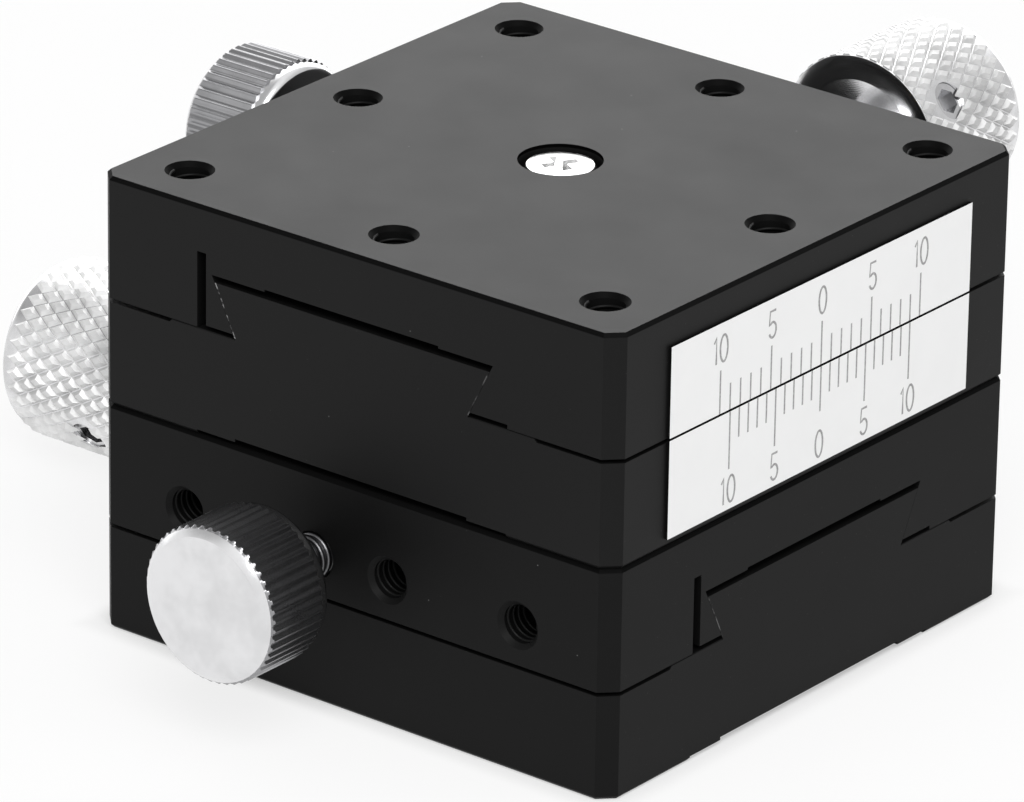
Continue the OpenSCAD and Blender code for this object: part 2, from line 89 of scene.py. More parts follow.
class Slide(Enum):
    """The two stacked slides, each drawn with its travel along Y and its drive knob at +Y."""

    LOWER = "lower"
    UPPER = "upper"

    @property
    def place(self) -> Matrix:
        """Matrix from the slide's own frame to the stage's frame."""
        if self is Slide.LOWER:
            return Matrix.Rotation(QUARTER_TURN, 4, "Z")
        return Matrix.Translation((0.0, 0.0, SLIDE_HEIGHT))

    @property
    def axes(self) -> tuple[Axis, Axis]:
        """The stage's axes along and across the slide's travel."""
        return (Axis.X, Axis.Y) if self is Slide.LOWER else (Axis.Y, Axis.X)

    def node(self, part: str) -> str:
        """Name of one of the slide's solids."""
        return f"{self.value}_{part}"

    def body(self, part: str) -> str:
        """Name of one of the slide's moving bodies."""
        return f"{self.value}_{part}"

    def box(self, part: str) -> tuple[Vector, Vector]:
        """Corners of a solid in the slide's own frame.

        Args:
            part: The solid's name without the slide's.

        Returns:
            The lowest and the highest corner.
        """
        turn = self.place.inverted()
        ends = [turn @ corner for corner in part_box(self.node(part))]
        return (Vector(map(min, *ends)), Vector(map(max, *ends)))

    def stand(self, part: str, axis: Axis) -> tuple[Matrix, float]:
        """Where a round solid starts along its axis, and how long it is.

        Args:
            part: The solid's name without the slide's.
            axis: Its axis in the slide's own frame, X or Y.

        Returns:
            The place of its low end, with Z along the axis, and its length in millimetres.
        """
        low, high = self.box(part)
        foot = (low + high) / 2
        foot[axis.value] = low[axis.value]
        if axis is Axis.X:
            turn = Matrix.Rotation(QUARTER_TURN, 4, "Y")
        else:
            turn = Matrix.Rotation(-QUARTER_TURN, 4, "X")
        length = (high[axis.value] - low[axis.value]) / MM
        return (self.place @ Matrix.Translation(foot) @ turn, length)


def grey(tone: float) -> tuple[float, float, float, float]:
    """A neutral colour."""
    return (tone, tone, tone, 1.0)


class Value:
    """A number socket of a node tree that Python's operators work on."""

    def __init__(self, graph: "Graph", socket: bpy.types.NodeSocket) -> None:
        """Wraps a socket of a graph."""
        self.graph = graph
        self.socket = socket

    def _math(self, operation: str, *values: Number) -> "Value":
        """One Math node on the given values."""
        node = self.graph.node("ShaderNodeMath", {"operation": operation}, dict(enumerate(values)))
        return Value(self.graph, node.outputs[0])

    def __add__(self, other: Number) -> "Value":
        """Sum."""
        return self._math("ADD", self, other)

    def __radd__(self, other: Number) -> "Value":
        """Sum with a number in front."""
        return self._math("ADD", other, self)

    def __sub__(self, other: Number) -> "Value":
        """Difference."""
        return self._math("SUBTRACT", self, other)

    def __rsub__(self, other: Number) -> "Value":
        """Difference with a number in front."""
        return self._math("SUBTRACT", other, self)

    def __mul__(self, other: Number) -> "Value":
        """Product."""
        return self._math("MULTIPLY", self, other)

    def __rmul__(self, other: Number) -> "Value":
        """Product with a number in front."""
        return self._math("MULTIPLY", other, self)

    def __truediv__(self, other: Number) -> "Value":
        """Quotient."""
        return self._math("DIVIDE", self, other)

    def __mod__(self, other: Number) -> "Value":
        """Remainder, never negative."""
        return self._math("FLOORED_MODULO", self, other)

    def __abs__(self) -> "Value":
        """Size without sign."""
        return self._math("ABSOLUTE", self)

    def __gt__(self, other: Number) -> "Value":
        """1 where this is greater, otherwise 0."""
        return self._math("GREATER_THAN", self, other)

    def __lt__(self, other: Number) -> "Value":
        """1 where this is less, otherwise 0."""
        return self._math("LESS_THAN", self, other)

    def floor(self) -> "Value":
        """Next whole number below."""
        return self._math("FLOOR", self)

    def sin(self) -> "Value":
        """Sine of an angle in radians."""
        return self._math("SINE", self)

    def cos(self) -> "Value":
        """Cosine of an angle in radians."""
        return self._math("COSINE", self)

    def root(self) -> "Value":
        """Square root."""
        return self._math("SQRT", self)

    def least(self, other: Number) -> "Value":
        """The smaller of two values."""
        return self._math("MINIMUM", self, other)

    def most(self, other: Number) -> "Value":
        """The larger of two values."""
        return self._math("MAXIMUM", self, other)

    def swing(self, size: float) -> "Value":
        """A value from 0 to 1 moved about its middle, so that it goes size / 2 each way."""
        return (self - 0.5) * size

    def ease(self, low: float, high: float) -> "Value":
        """Smooth step from 0 to 1.

        Args:
            low: Where it starts to rise.
            high: Where it is 1.

        Returns:
            The step value.
        """
        limits = {"Value": self, "From Min": low, "From Max": high}
        node = self.graph.node("ShaderNodeMapRange", {"interpolation_type": "SMOOTHSTEP"}, limits)
        return Value(self.graph, node.outputs[0])


class Graph:
    """A node tree with one way of making nodes."""

    def __init__(self, tree: bpy.types.NodeTree) -> None:
        """Wraps a node tree."""
        self.tree = tree

    def node(
        self,
        kind: str,
        settings: Optional[Mapping[str, Any]] = None,
        inputs: Optional[Mapping[Union[str, int], Any]] = None,
    ) -> bpy.types.Node:
        """Adds a node.

        Args:
            kind: The node's type.
            settings: Its properties, set first.
            inputs: Values, sockets or wrapped values for its inputs, by name or number.

        Returns:
            The new node.
        """
        node = self.tree.nodes.new(kind)
        for key, setting in (settings or {}).items():
            setattr(node, key, setting)
        for key, value in (inputs or {}).items():
            if isinstance(value, Value):
                value = value.socket
            if isinstance(value, bpy.types.NodeSocket):
                self.tree.links.new(value, node.inputs[key])
            else:
                node.inputs[key].default_value = value
        return node

    def value(self, node: bpy.types.Node, key: Union[str, int] = 0) -> Value:
        """Wraps a node's output."""
        return Value(self, node.outputs[key])

    def split(self, vector: bpy.types.NodeSocket) -> tuple[Value, Value, Value]:
        """The three parts of a vector socket."""
        node = self.node("ShaderNodeSeparateXYZ", None, {0: vector})
        return (self.value(node, 0), self.value(node, 1), self.value(node, 2))

    def join(self, x: Number, y: Number, z: Number) -> bpy.types.NodeSocket:
        """A vector socket from three parts."""
        return self.node("ShaderNodeCombineXYZ", None, {0: x, 1: y, 2: z}).outputs[0]

    def rays(self) -> tuple[Value, Value]:
        """Tells the rays of light apart.

        Returns:
            1 for the camera's own rays, and 1 for mirrored and see-through ones.
        """
        path = self.node("ShaderNodeLightPath")
        mirrored = self.value(path, "Is Glossy Ray").most(self.value(path, "Is Transmission Ray"))
        return (self.value(path, "Is Camera Ray"), mirrored)


@dataclass(frozen=True)
class Noise:
    """A procedural noise, by its cells per metre and its octaves."""

    scale: float
    detail: float


class SurfaceGraph(Graph):
    """The node tree of one material, with its Principled shader."""

    def __init__(self, name: str, **constants: Any) -> None:
        """Starts a material.

        Args:
            name: The material's name.
            **constants: Values that are the same all over, by socket name with _ for spaces.
        """
        self.material = bpy.data.materials.new(name)
        self.material.use_nodes = True
        super().__init__(self.material.node_tree)
        self.tree.nodes.clear()
        named = {key.replace("_", " "): value for key, value in constants.items()}
        self.shader = self.node("ShaderNodeBsdfPrincipled", None, named)
        surface = {"Surface": self.shader.outputs[0]}
        self.output = self.node("ShaderNodeOutputMaterial", None, surface)
        self.at = self.node("ShaderNodeTexCoord").outputs["Object"]

    def noise(self, kind: Noise) -> Value:
        """Noise between 0 and 1 on the object's own coordinates.

        Args:
            kind: The noise's sizes.

        Returns:
            The noise value.
        """
        inputs = {
            "Vector": self.at, "Scale": kind.scale, "Detail": kind.detail,
            "Roughness": NOISE_ROUGHNESS,
        }
        return self.value(self.node("ShaderNodeTexNoise", None, inputs), 0)

    def cells(self, scale: float) -> tuple[Value, Value]:
        """Scattered points, one in each cell.

        Args:
            scale: Cells per metre.

        Returns:
            The distance to the nearest point, in cells, and that point's random number.
        """
        node = self.node("ShaderNodeTexVoronoi", None, {"Vector": self.at, "Scale": scale})
        tint = self.node("ShaderNodeSeparateColor", None, {0: node.outputs["Color"]})
        return (self.value(node, "Distance"), self.value(tint, 0))

    def normal(self) -> tuple[Value, Value, Value]:
        """The three parts of the direction that the surface faces."""
        return self.split(self.node("ShaderNodeNewGeometry").outputs["Normal"])

    def blend(self, share: Number, first: Any, second: Any) -> bpy.types.NodeSocket:
        """Colour that goes from first to second as share goes from 0 to 1."""
        inputs = {0: share, 6: first, 7: second}
        return self.node("ShaderNodeMix", {"data_type": "RGBA"}, inputs).outputs[2]

    def greys(self, share: Number, tone: float, parts: Point) -> bpy.types.NodeSocket:
        """Grey that goes from the first to the second part of a tone as share goes from 0 to 1."""
        return self.blend(share, grey(tone * parts[0]), grey(tone * parts[1]))

    def feed(self, **links: Any) -> None:
        """Links varying inputs of the shader.

        Args:
            **links: Sockets or wrapped values, by socket name with _ for spaces.
        """
        for key, value in links.items():
            socket = value.socket if isinstance(value, Value) else value
            self.tree.links.new(socket, self.shader.inputs[key.replace("_", " ")])

    def bump(self, height: Value, strength: float, depth: float) -> None:
        """Gives the surface a relief of the given depth."""
        inputs = {"Strength": strength, "Distance": depth, "Height": height}
        self.feed(Normal=self.node("ShaderNodeBump", None, inputs).outputs[0])

    def overlay(self, share: Number, shader: bpy.types.Node) -> None:
        """Mixes another shader over the surface.

        Args:
            share: How much of it shows, from 0 to 1.
            shader: The other shader.
        """
        inputs = {0: share, 1: self.shader.outputs[0], 2: shader.outputs[0]}
        mix = self.node("ShaderNodeMixShader", None, inputs)
        self.tree.links.new(mix.outputs[0], self.output.inputs["Surface"])

    def whiten(self, share: Number) -> None:
        """Mixes plain white light of strength 1 into the surface."""
        light = {"Color": grey(1.0), "Strength": 1.0}
        self.overlay(share, self.node("ShaderNodeEmission", None, light))

    def blacken(self, share: Number, tone: float) -> None:
        """Mixes a dull dark surface without shine over the surface."""
        self.overlay(share, self.node("ShaderNodeBsdfDiffuse", None, {"Color": grey(tone)}))


@dataclass(frozen=True)
class Specks:
    """Small dots scattered by chance, one in some of the cells.

    The scale is in cells per metre, and the dot's core and rim are radii in cells.
    """

    scale: float
    core: float
    rim: float
    empty_share: float

    def mask(self, graph: SurfaceGraph) -> Value:
        """1 on the dots and 0 beside them."""
        near, chance = graph.cells(self.scale)
        return (1.0 - near.ease(self.core, self.rim)) * (chance > self.empty_share)


@dataclass(frozen=True)
class DovetailWear:
    """Painted highlights: bright metal-like lines where the flanks of a dovetail end at a plate's
    side, standing in for glints at these joints.
    """

    slide: Slide
    neck: float = 9.0 * MM
    lean: float = 0.4877
    low: float = 7.1 * MM
    high: float = 10.35 * MM
    width: float = 0.07 * MM
    core: float = 0.4
    gib_share: float = 0.45
    far_share: float = 0.12
    square_on: float = 0.9
    patches: Noise = Noise(1300.0, 3.0)
    patch_limits: Point = (0.44, 0.6)

    def mask(self, graph: SurfaceGraph) -> Value:
        """How strong the painted highlight is, from 0 to 1.

        Args:
            graph: The material that shows the wear.

        Returns:
            The mask value.
        """
        spot = graph.split(graph.at)
        along, side = self.slide.axes
        across = spot[side.value]
        rise = spot[2] - self.slide.place.translation.z
        flank = abs(across) - self.neck - (rise - self.low) * self.lean
        line = 1.0 - abs(flank).ease(self.core * self.width, self.width)
        span = (rise > self.low) * (rise < self.high)
        share = self.far_share + (across < 0.0) * (self.gib_share - self.far_share)
        ends = abs(graph.normal()[along.value]) > self.square_on
        return line * span * share * ends * graph.noise(self.patches).ease(*self.patch_limits)


@dataclass(frozen=True)
class DarkEdge:
    """Painted shade: blackened bands along the plates' broken edges and seams, and blackened
    countersinks, which face the room's dark side.
    """

    heights: tuple[float, ...]
    width: float = 0.27 * MM
    core: float = 0.7
    tone: float = 0.002
    upright: float = 0.4
    sink_depth: float = 0.6 * MM
    sink_facing: Point = (0.5, 0.9)
    sink_share: float = 0.75

    def mask(self, graph: SurfaceGraph) -> Value:
        """How much painted shade the surface gets, from 0 to 1.

        Args:
            graph: The material that shows the edges.

        Returns:
            The mask value.
        """
        z = graph.split(graph.at)[2]
        up = graph.normal()[2]
        least, most = self.sink_facing
        dark: Number = 0.0
        for height in self.heights:
            off = abs(z - height)
            band = (1.0 - off.ease(self.core * self.width, self.width)) * (abs(up) < self.upright)
            sink = (off < self.sink_depth) * (up > least) * (up < most) * self.sink_share
            dark = band.most(sink).most(dark)
        return dark


@dataclass(frozen=True)
class AnodisedBlack:
    """Matte black anodised aluminium, bead blasted, with a little dust."""

    name: str
    tone: float = 0.005
    dust: float = 0.16
    roughness: float = 0.5
    specular: float = 0.14
    wear: Optional[DovetailWear] = None
    edge: Optional[DarkEdge] = None
    cloud: Noise = Noise(210.0, 3.0)
    cloud_tones: Point = (0.85, 1.2)
    cloud_rough: float = 0.09
    grain: Noise = Noise(17000.0, 2.0)
    grain_rough: float = 0.1
    grain_bump: Point = (0.3, 0.008 * MM)
    glint_limits: Point = (0.55, 0.8)
    glint_share: float = 0.35
    glint_tone: float = 2.2
    specks: Specks = Specks(620.0, 0.018, 0.03, 0.8)
    motes: Specks = Specks(2100.0, 0.03, 0.06, 0.95)
    mote_share: float = 0.5
    bare_tone: float = 0.62
    bare_polish: float = 0.2

    def build(self) -> bpy.types.Material:
        """Makes the material.

        Returns:
            The material.
        """
        g = SurfaceGraph(self.name, Specular_IOR_Level=self.specular, Metallic=0.0)
        cloud = g.noise(self.cloud)
        grain = g.noise(self.grain)
        dusty = self.specks.mask(g).most(self.motes.mask(g) * self.mote_share)
        # Painted highlight: lighter specks of the fine grain stand in for glints of the blasted
        # surface.
        glint = grain.ease(*self.glint_limits) * self.glint_share
        shade = g.greys(cloud, self.tone, self.cloud_tones)
        shade = g.blend(glint, shade, grey(self.tone * self.glint_tone))
        shade = g.blend(dusty, shade, grey(self.dust))
        rough = self.roughness + cloud.swing(self.cloud_rough) + grain.swing(self.grain_rough)
        # Painted highlights where the dovetail flanks end: brighter, shinier metal-like lines in the
        # colour.
        if self.wear:
            glint_paint = self.wear.mask(g)
            shade = g.blend(glint_paint, shade, grey(self.bare_tone))
            rough = rough - glint_paint * self.bare_polish
            g.feed(Metallic=glint_paint)
        g.feed(Base_Color=shade, Roughness=rough)
        g.bump(grain, *self.grain_bump)
        # Painted shade along broken edges, seams and countersinks.
        if self.edge:
            g.blacken(self.edge.mask(g), self.edge.tone)
        return g.material


@dataclass(frozen=True)
class Metal:
    """Colour and polish of a turned metal."""

    tone: Triple
    roughness: float = 0.2
    stain: float = 0.12


STEEL = Metal((0.66, 0.66, 0.67))
BRONZE = Metal((0.50, 0.34, 0.16), roughness=0.3)
KNOB_POLISH = Metal((0.8, 0.8, 0.81), roughness=0.15)
KNOB_GRIP = {
    Slide.LOWER: Metal((0.82, 0.82, 0.82), roughness=0.52),
    # Painted shade: the upper knob's knurl is a darker copy of the same steel, to tone down its
    # highlights.
    Slide.UPPER: Metal((0.7, 0.7, 0.7), roughness=0.52),
}
LOCK_POLISH = Metal((0.8, 0.8, 0.81), roughness=0.18, stain=0.06)
# Painted shade: the lock knobs' ridges are a darker copy of the knobs' polished steel, standing in
# for shade in the knurl's valleys.
LOCK_GRIP_SHADED = Metal((0.36, 0.36, 0.37), roughness=0.28)
# Painted shade: the lock screws are bright steel darkened, for the shade and dark reflections they
# get beside the black plates.
STUD_STEEL_SHADED = Metal((0.16, 0.16, 0.165), roughness=0.32)
PAN_STEEL = Metal((0.8, 0.8, 0.8))


@dataclass(frozen=True)
class TurnedMetal:
    """Bright turned or polished metal, with fine rings round its axis."""

    name: str
    metal: Metal
    axis: Axis
    centre: Triple
    ring: float = 0.09 * MM
    ring_rough: float = 0.025
    wobble: Noise = Noise(2600.0, 2.0)
    wobble_turn: float = 5.0
    cloud: Noise = Noise(380.0, 4.0)
    cloud_limits: Point = (0.35, 0.75)
    cloud_rough: float = 0.14
    stain_depth: float = 2.2
    scratch: Noise = Noise(14000.0, 1.0)
    scratch_rough: float = 0.06
    least_rough: float = 0.05
    relief_parts: Point = (0.5, 0.6)
    relief_bump: Point = (0.6, 0.0012 * MM)

    def build(self) -> bpy.types.Material:
        """Makes the material.

        Returns:
            The material.
        """
        g = SurfaceGraph(self.name, Metallic=1.0)
        off = [part - middle for part, middle in zip(g.split(g.at), self.centre)]
        along = off.pop(self.axis.value)
        radius = (off[0] * off[0] + off[1] * off[1]).root()
        wobble = g.noise(self.wobble) * self.wobble_turn
        rings = ((radius + along) * (FULL_TURN / self.ring) + wobble).sin()
        cloud = g.noise(self.cloud)
        scratch = g.noise(self.scratch)
        dull = [part * (1.0 - self.stain_depth * self.metal.stain) for part in self.metal.tone]
        stain = cloud.ease(*self.cloud_limits)
        shade = g.blend(stain, (*self.metal.tone, 1.0), (*dull, 1.0))
        rough = self.metal.roughness + cloud.swing(self.cloud_rough) + rings * self.ring_rough
        rough = rough + scratch.swing(self.scratch_rough)
        g.feed(Base_Color=shade, Roughness=rough.most(self.least_rough))
        g.bump(rings * self.relief_parts[0] + scratch * self.relief_parts[1], *self.relief_bump)
        return g.material


@dataclass(frozen=True)
class BlackOxide:
    """Black oxide steel of the small screws and the collars."""

    name: str
    tone: float = 0.035
    roughness: float = 0.36
    metallic: float = 0.85
    cloud: Noise = Noise(1300.0, 3.0)
    cloud_tones: Point = (0.7, 1.5)
    cloud_rough: float = 0.2
    grain: Noise = Noise(22000.0, 1.0)
    grain_bump: Point = (0.3, 0.004 * MM)

    def build(self) -> bpy.types.Material:
        """Makes the material.

        Returns:
            The material.
        """
        g = SurfaceGraph(self.name, Metallic=self.metallic)
        cloud = g.noise(self.cloud)
        shade = g.greys(cloud, self.tone, self.cloud_tones)
        g.feed(Base_Color=shade, Roughness=self.roughness + cloud.swing(self.cloud_rough))
        g.bump(g.noise(self.grain), *self.grain_bump)
        return g.material


@dataclass(frozen=True)
class PlateWhite:
    """White satin lacquer of the scale plates, with dark edges and painted shade in the split between
    the two.
    """

    name: str
    split: Point
    tone: float = 0.82
    roughness: float = 0.42
    specular: float = 0.4
    rim: float = 0.02 * MM
    rim_tone: float = 0.006
    face_on: float = 0.5
    cloud: Noise = Noise(330.0, 3.0)
    cloud_tones: Point = (0.97, 1.02)
    cloud_rough: float = 0.12
    grain: Noise = Noise(9000.0, 2.0)
    grain_bump: Point = (0.2, 0.003 * MM)
    fleck_limits: Point = (0.66, 0.82)
    fleck_share: float = 0.25
    fleck_tone: float = 0.86

    def build(self) -> bpy.types.Material:
        """Makes the material.

        Returns:
            The material.
        """
        g = SurfaceGraph(self.name, Specular_IOR_Level=self.specular)
        z = g.split(g.at)[2]
        low, high = self.split
        # Painted shade in the split between the plates, joined with the darker faces that do not face
        # +X.
        dark = (z > low - self.rim) * (z < high + self.rim)
        dark = dark.most(g.normal()[0] < self.face_on)
        cloud = g.noise(self.cloud)
        grain = g.noise(self.grain)
        fleck = grain.ease(*self.fleck_limits) * self.fleck_share
        shade = g.greys(cloud, self.tone, self.cloud_tones)
        shade = g.blend(fleck, shade, grey(self.tone * self.fleck_tone))
        g.feed(Base_Color=shade, Roughness=self.roughness + cloud.swing(self.cloud_rough))
        g.bump(grain, *self.grain_bump)
        g.blacken(dark, self.rim_tone)
        return g.material


@dataclass(frozen=True)
class ScaleInk:
    """Grey print of the graduations, a little broken."""

    name: str
    tone: float = 0.27
    roughness: float = 0.5
    specular: float = 0.3
    thin: Noise = Noise(5200.0, 2.0)
    thin_limits: Point = (0.35, 0.75)
    thin_tones: Point = (1.0, 1.5)
    thin_rough: float = 0.1

    def build(self) -> bpy.types.Material:
        """Makes the material.

        Returns:
            The material.
        """
        g = SurfaceGraph(self.name, Specular_IOR_Level=self.specular)
        thin = g.noise(self.thin).ease(*self.thin_limits)
        shade = g.greys(thin, self.tone, self.thin_tones)
        g.feed(Base_Color=shade, Roughness=self.roughness + thin.swing(self.thin_rough))
        return g.material


class MeshWork:
    """Small tools that turn profiles and lists of faces into finished pieces."""

    @staticmethod
    def round_over(radius: float, end: float, bend: float) -> list[Point]:
        """Profile of the rounded edge at the far end of a turned piece.

        Args:
            radius: The piece's radius.
            end: The height of its end.
            bend: The radius of the rounding.

        Returns:
            Points (radius, height) from the side to the end.
        """
        turns = [math.radians(angle) for angle in range(0, 91, 10)]
        foot = (radius - bend, end - bend)
        return [(foot[0] + bend * math.cos(t), foot[1] + bend * math.sin(t)) for t in turns]

    @staticmethod
    def revolve(profile: Sequence[Point], segments: int) -> bmesh.types.BMesh:
        """Turns a profile round the Z axis into a closed skin.

        Args:
            profile: Points (radius, height) from the axis back to the axis.
            segments: Steps round the axis.

        Returns:
            A mesh in millimetres, with its normals outward.
        """
        bm = bmesh.new()
        turns = [FULL_TURN * i / segments for i in range(segments)]
        rows = []
        for r, height in profile:
            if r < TINY:
                rows.append([bm.verts.new((0.0, 0.0, height))] * segments)
            else:
                spots = [(r * math.cos(t), r * math.sin(t), height) for t in turns]
                rows.append([bm.verts.new(spot) for spot in spots])
        for low, high in zip(rows, rows[1:]):
            for i in range(segments):
                j = (i + 1) % segments
                ring = list(dict.fromkeys((low[i], low[j], high[j], high[i])))
                if len(ring) > 2:
                    bm.faces.new(ring)
        bmesh.ops.recalc_face_normals(bm, faces=bm.faces)
        return bm

    @staticmethod
    def mesh(name: str, bm: bmesh.types.BMesh) -> bpy.types.Mesh:
        """Turns a bmesh into a mesh, and frees it.

        Args:
            name: The mesh's name.
            bm: The shape.

        Returns:
            The new mesh.
        """
        mesh = bpy.data.meshes.new(name)
        bm.to_mesh(mesh)
        bm.free()
        return mesh

    @staticmethod
    def shade(mesh: bpy.types.Mesh, crease: float = 30.0) -> None:
        """Smooths a mesh, but keeps edges sharp past the crease angle in degrees."""
        mesh.shade_smooth()
        mesh.set_sharp_from_angle(angle=math.radians(crease))

    @staticmethod
    def piece(
        name: str,
        bm: bmesh.types.BMesh,
        place: Matrix,
        material: bpy.types.Material,
        smooth: bool = True,
    ) -> bpy.types.Object:
        """Makes an object at the origin, with its place in its mesh.

        Args:
            name: The piece's name.
            bm: Its shape in millimetres, freed here.
            place: Where it goes, from its own frame in metres.
            material: Its finish.
            smooth: Whether its faces are shaded as round ones.

        Returns:
            The new object.
        """
        mesh = MeshWork.mesh(name, bm)
        mesh.transform(place @ Matrix.Scale(MM, 4))
        if smooth:
            MeshWork.shade(mesh)
        mesh.materials.append(material)
        obj = bpy.data.objects.new(name, mesh)
        bpy.context.scene.collection.objects.link(obj)
        return obj

    @staticmethod
    def settle(obj: bpy.types.Object) -> None:
        """Turns an object's modifiers into its plain mesh.

        Args:
            obj: The object, changed in place.
        """
        graph = bpy.context.evaluated_depsgraph_get()
        mesh = bpy.data.meshes.new_from_object(obj.evaluated_get(graph))
        obj.modifiers.clear()
        old = obj.data
        obj.data = mesh
        mesh.name = obj.name
        bpy.data.meshes.remove(old)

    @staticmethod
    def cut(obj: bpy.types.Object, cutters: Sequence[bpy.types.Object]) -> None:
        """Cuts pieces out of an object and removes the cutters.

        Args:
            obj: The object that is cut, changed in place.
            cutters: Closed objects whose space is taken away.
        """
        for cutter in cutters:
            modifier = obj.modifiers.new("cut", "BOOLEAN")
            modifier.operation = "DIFFERENCE"
            modifier.solver = "EXACT"
            modifier.object = cutter
        MeshWork.settle(obj)
        MeshWork.shade(obj.data)
        for cutter in cutters:
            data = cutter.data
            bpy.data.objects.remove(cutter)
            bpy.data.meshes.remove(data)


class PatternTree(Graph):
    """A Geometry Nodes tree that repeats a shape and ends in a plain mesh."""

    def __init__(self, name: str, sizes: Mapping[str, float]) -> None:
        """Starts a tree.

        Args:
            name: The tree's name.
            sizes: Its inputs by name, with their defaults; a whole number makes an integer input.
        """
        super().__init__(bpy.data.node_groups.new(name, "GeometryNodeTree"))
        face = self.tree.interface
        face.new_socket("Geometry", in_out="OUTPUT", socket_type="NodeSocketGeometry")
        face.new_socket("Geometry", in_out="INPUT", socket_type="NodeSocketGeometry")
        self.keys: dict[str, str] = {}
        for size, default in sizes.items():
            kind = "NodeSocketInt" if isinstance(default, int) else "NodeSocketFloat"
            socket = face.new_socket(size, in_out="INPUT", socket_type=kind)
            socket.default_value = default
            self.keys[size] = socket.identifier
        finish = face.new_socket("Finish", in_out="INPUT", socket_type="NodeSocketMaterial")
        self.keys["Finish"] = finish.identifier
        self.start = self.node("NodeGroupInput")
        self.end = self.node("NodeGroupOutput")

    def size(self, name: str) -> Value:
        """One of the tree's inputs."""
        return self.value(self.start, name)

    def index(self) -> Value:
        """The number of the point at hand."""
        return self.value(self.node("GeometryNodeInputIndex"))

    def points(self, count: Number, at: bpy.types.NodeSocket) -> bpy.types.NodeSocket:
        """A cloud of points whose places follow their numbers."""
        return self.node("GeometryNodePoints", None, {"Count": count, "Position": at}).outputs[0]

    def aim(
        self, axis: Axis, way: Any, settings: Mapping[str, Any], **more: Any
    ) -> bpy.types.NodeSocket:
        """A rotation that points one axis of a shape in a direction.

        Args:
            axis: The shape's axis.
            way: The direction.
            settings: Other properties of the node.
            **more: Other inputs of the node.

        Returns:
            The rotation socket.
        """
        settings = {"axis": axis.name, **settings}
        inputs = {"Vector": way, **more}
        return self.node("FunctionNodeAlignRotationToVector", settings, inputs).outputs[0]

    def close(
        self, points: bpy.types.NodeSocket, shape: bpy.types.NodeSocket, **pose: Any
    ) -> None:
        """Puts the shape on the points and ends the tree.

        Args:
            points: Where the copies go.
            shape: What is copied.
            **pose: Rotation and Scale of the copies.
        """
        spread = {"Points": points, "Instance": shape, **pose}
        copies = self.node("GeometryNodeInstanceOnPoints", None, spread)
        solid = self.node("GeometryNodeRealizeInstances", None, {0: copies.outputs[0]})
        finish = {0: solid.outputs[0], "Material": self.start.outputs["Finish"]}
        dressed = self.node("GeometryNodeSetMaterial", None, finish)
        self.tree.links.new(dressed.outputs[0], self.end.inputs[0])

    def build(
        self,
        name: str,
        sizes: Mapping[str, float],
        material: bpy.types.Material,
        place: Matrix,
        seed: Optional[bpy.types.Mesh] = None,
    ) -> bpy.types.Object:
        """Runs the tree into a plain mesh object.

        Args:
            name: The piece's name.
            sizes: Values for the tree's inputs.
            material: The piece's finish.
            place: Where the piece goes, from its own frame in metres.
            seed: The mesh that enters the tree, or None for an empty one.

        Returns:
            The new object, at the origin and without modifiers.
        """
        obj = bpy.data.objects.new(name, seed or bpy.data.meshes.new("seed"))
        bpy.context.scene.collection.objects.link(obj)
        modifier = obj.modifiers.new("pattern", "NODES")
        modifier.node_group = self.tree
        for size, value in sizes.items():
            modifier[self.keys[size]] = value
        modifier[self.keys["Finish"]] = material
        MeshWork.settle(obj)
        obj.data.transform(place @ Matrix.Scale(MM, 4))
        return obj


class DiamondKnurlTree(PatternTree):
    """Crossed knurl on a round grip: flat-topped diamonds in staggered rows along Z."""

    corners = 4

    def __init__(self) -> None:
        """Builds the tree."""
        super().__init__("diamond_knurl", {
            "Radius": 6.0, "Count": 35, "Rows": 11, "First": 0.25, "Step": 0.92, "Height": 0.26,
            "Flat": 0.6, "Sink": 0.05, "Round Start": 8.75, "Round": 1.0, "Hole Height": 3.2,
            "Hole Turn": 0.0, "Hole Clear": 1.3,
        })
        count = self.size("Count")
        radius = self.size("Radius")
        step = self.size("Step")
        number = self.index()
        row = (number / count).floor()
        stagger = (row % 2.0) * 0.5
        turn = (number - row * count + stagger) * FULL_TURN / count
        height = self.size("First") + row * step
        bend = self.size("Round")
        past = ((height - self.size("Round Start")) / bend).most(0.0).least(1.0)
        drop = (1.0 - (1.0 - past * past).root()) * bend
        deep = self.size("Height") + self.size("Sink")
        reach = radius - deep - drop
        spot = self.join(turn.cos() * reach, turn.sin() * reach, height)
        cloud = self.points(count * self.size("Rows"), spot)
        x, y, z = self.split(self.node("GeometryNodeInputPosition").outputs[0])
        aim = self.size("Hole Turn")
        side = y * aim.cos() - x * aim.sin()
        ahead = x * aim.cos() + y * aim.sin()
        rise = z - self.size("Hole Height")
        near = (side * side + rise * rise).root() < self.size("Hole Clear")
        hole = {"Geometry": cloud, "Selection": near * (ahead > 0.0)}
        kept = self.node("GeometryNodeDeleteGeometry", {"domain": "POINT"}, hole)
        outward = self.aim(Axis.Z, self.join(x, y, 0.0), {})
        upright = self.aim(Axis.Y, (0.0, 0.0, 1.0), {"pivot_axis": "Z"}, Rotation=outward)
        diamond = self.node("GeometryNodeMeshCone", None, {
            "Vertices": self.corners, "Radius Top": self.size("Flat"), "Radius Bottom": 1.0,
            "Depth": deep,
        })
        scale = self.join(radius * math.pi / count, step, 1.0)
        self.close(kept.outputs[0], diamond.outputs[0], Rotation=upright, Scale=scale)


class RoundArrayTree(PatternTree):
    """Copies of the incoming shape, evenly round the Z axis."""

    def __init__(self) -> None:
        """Builds the tree."""
        super().__init__("round_array", {"Count": 60})
        count = self.size("Count")
        turn = self.index() * FULL_TURN / count
        cloud = self.points(count, self.join(0.0, 0.0, 0.0))
        self.close(cloud, self.start.outputs["Geometry"], Rotation=self.join(0.0, 0.0, turn))


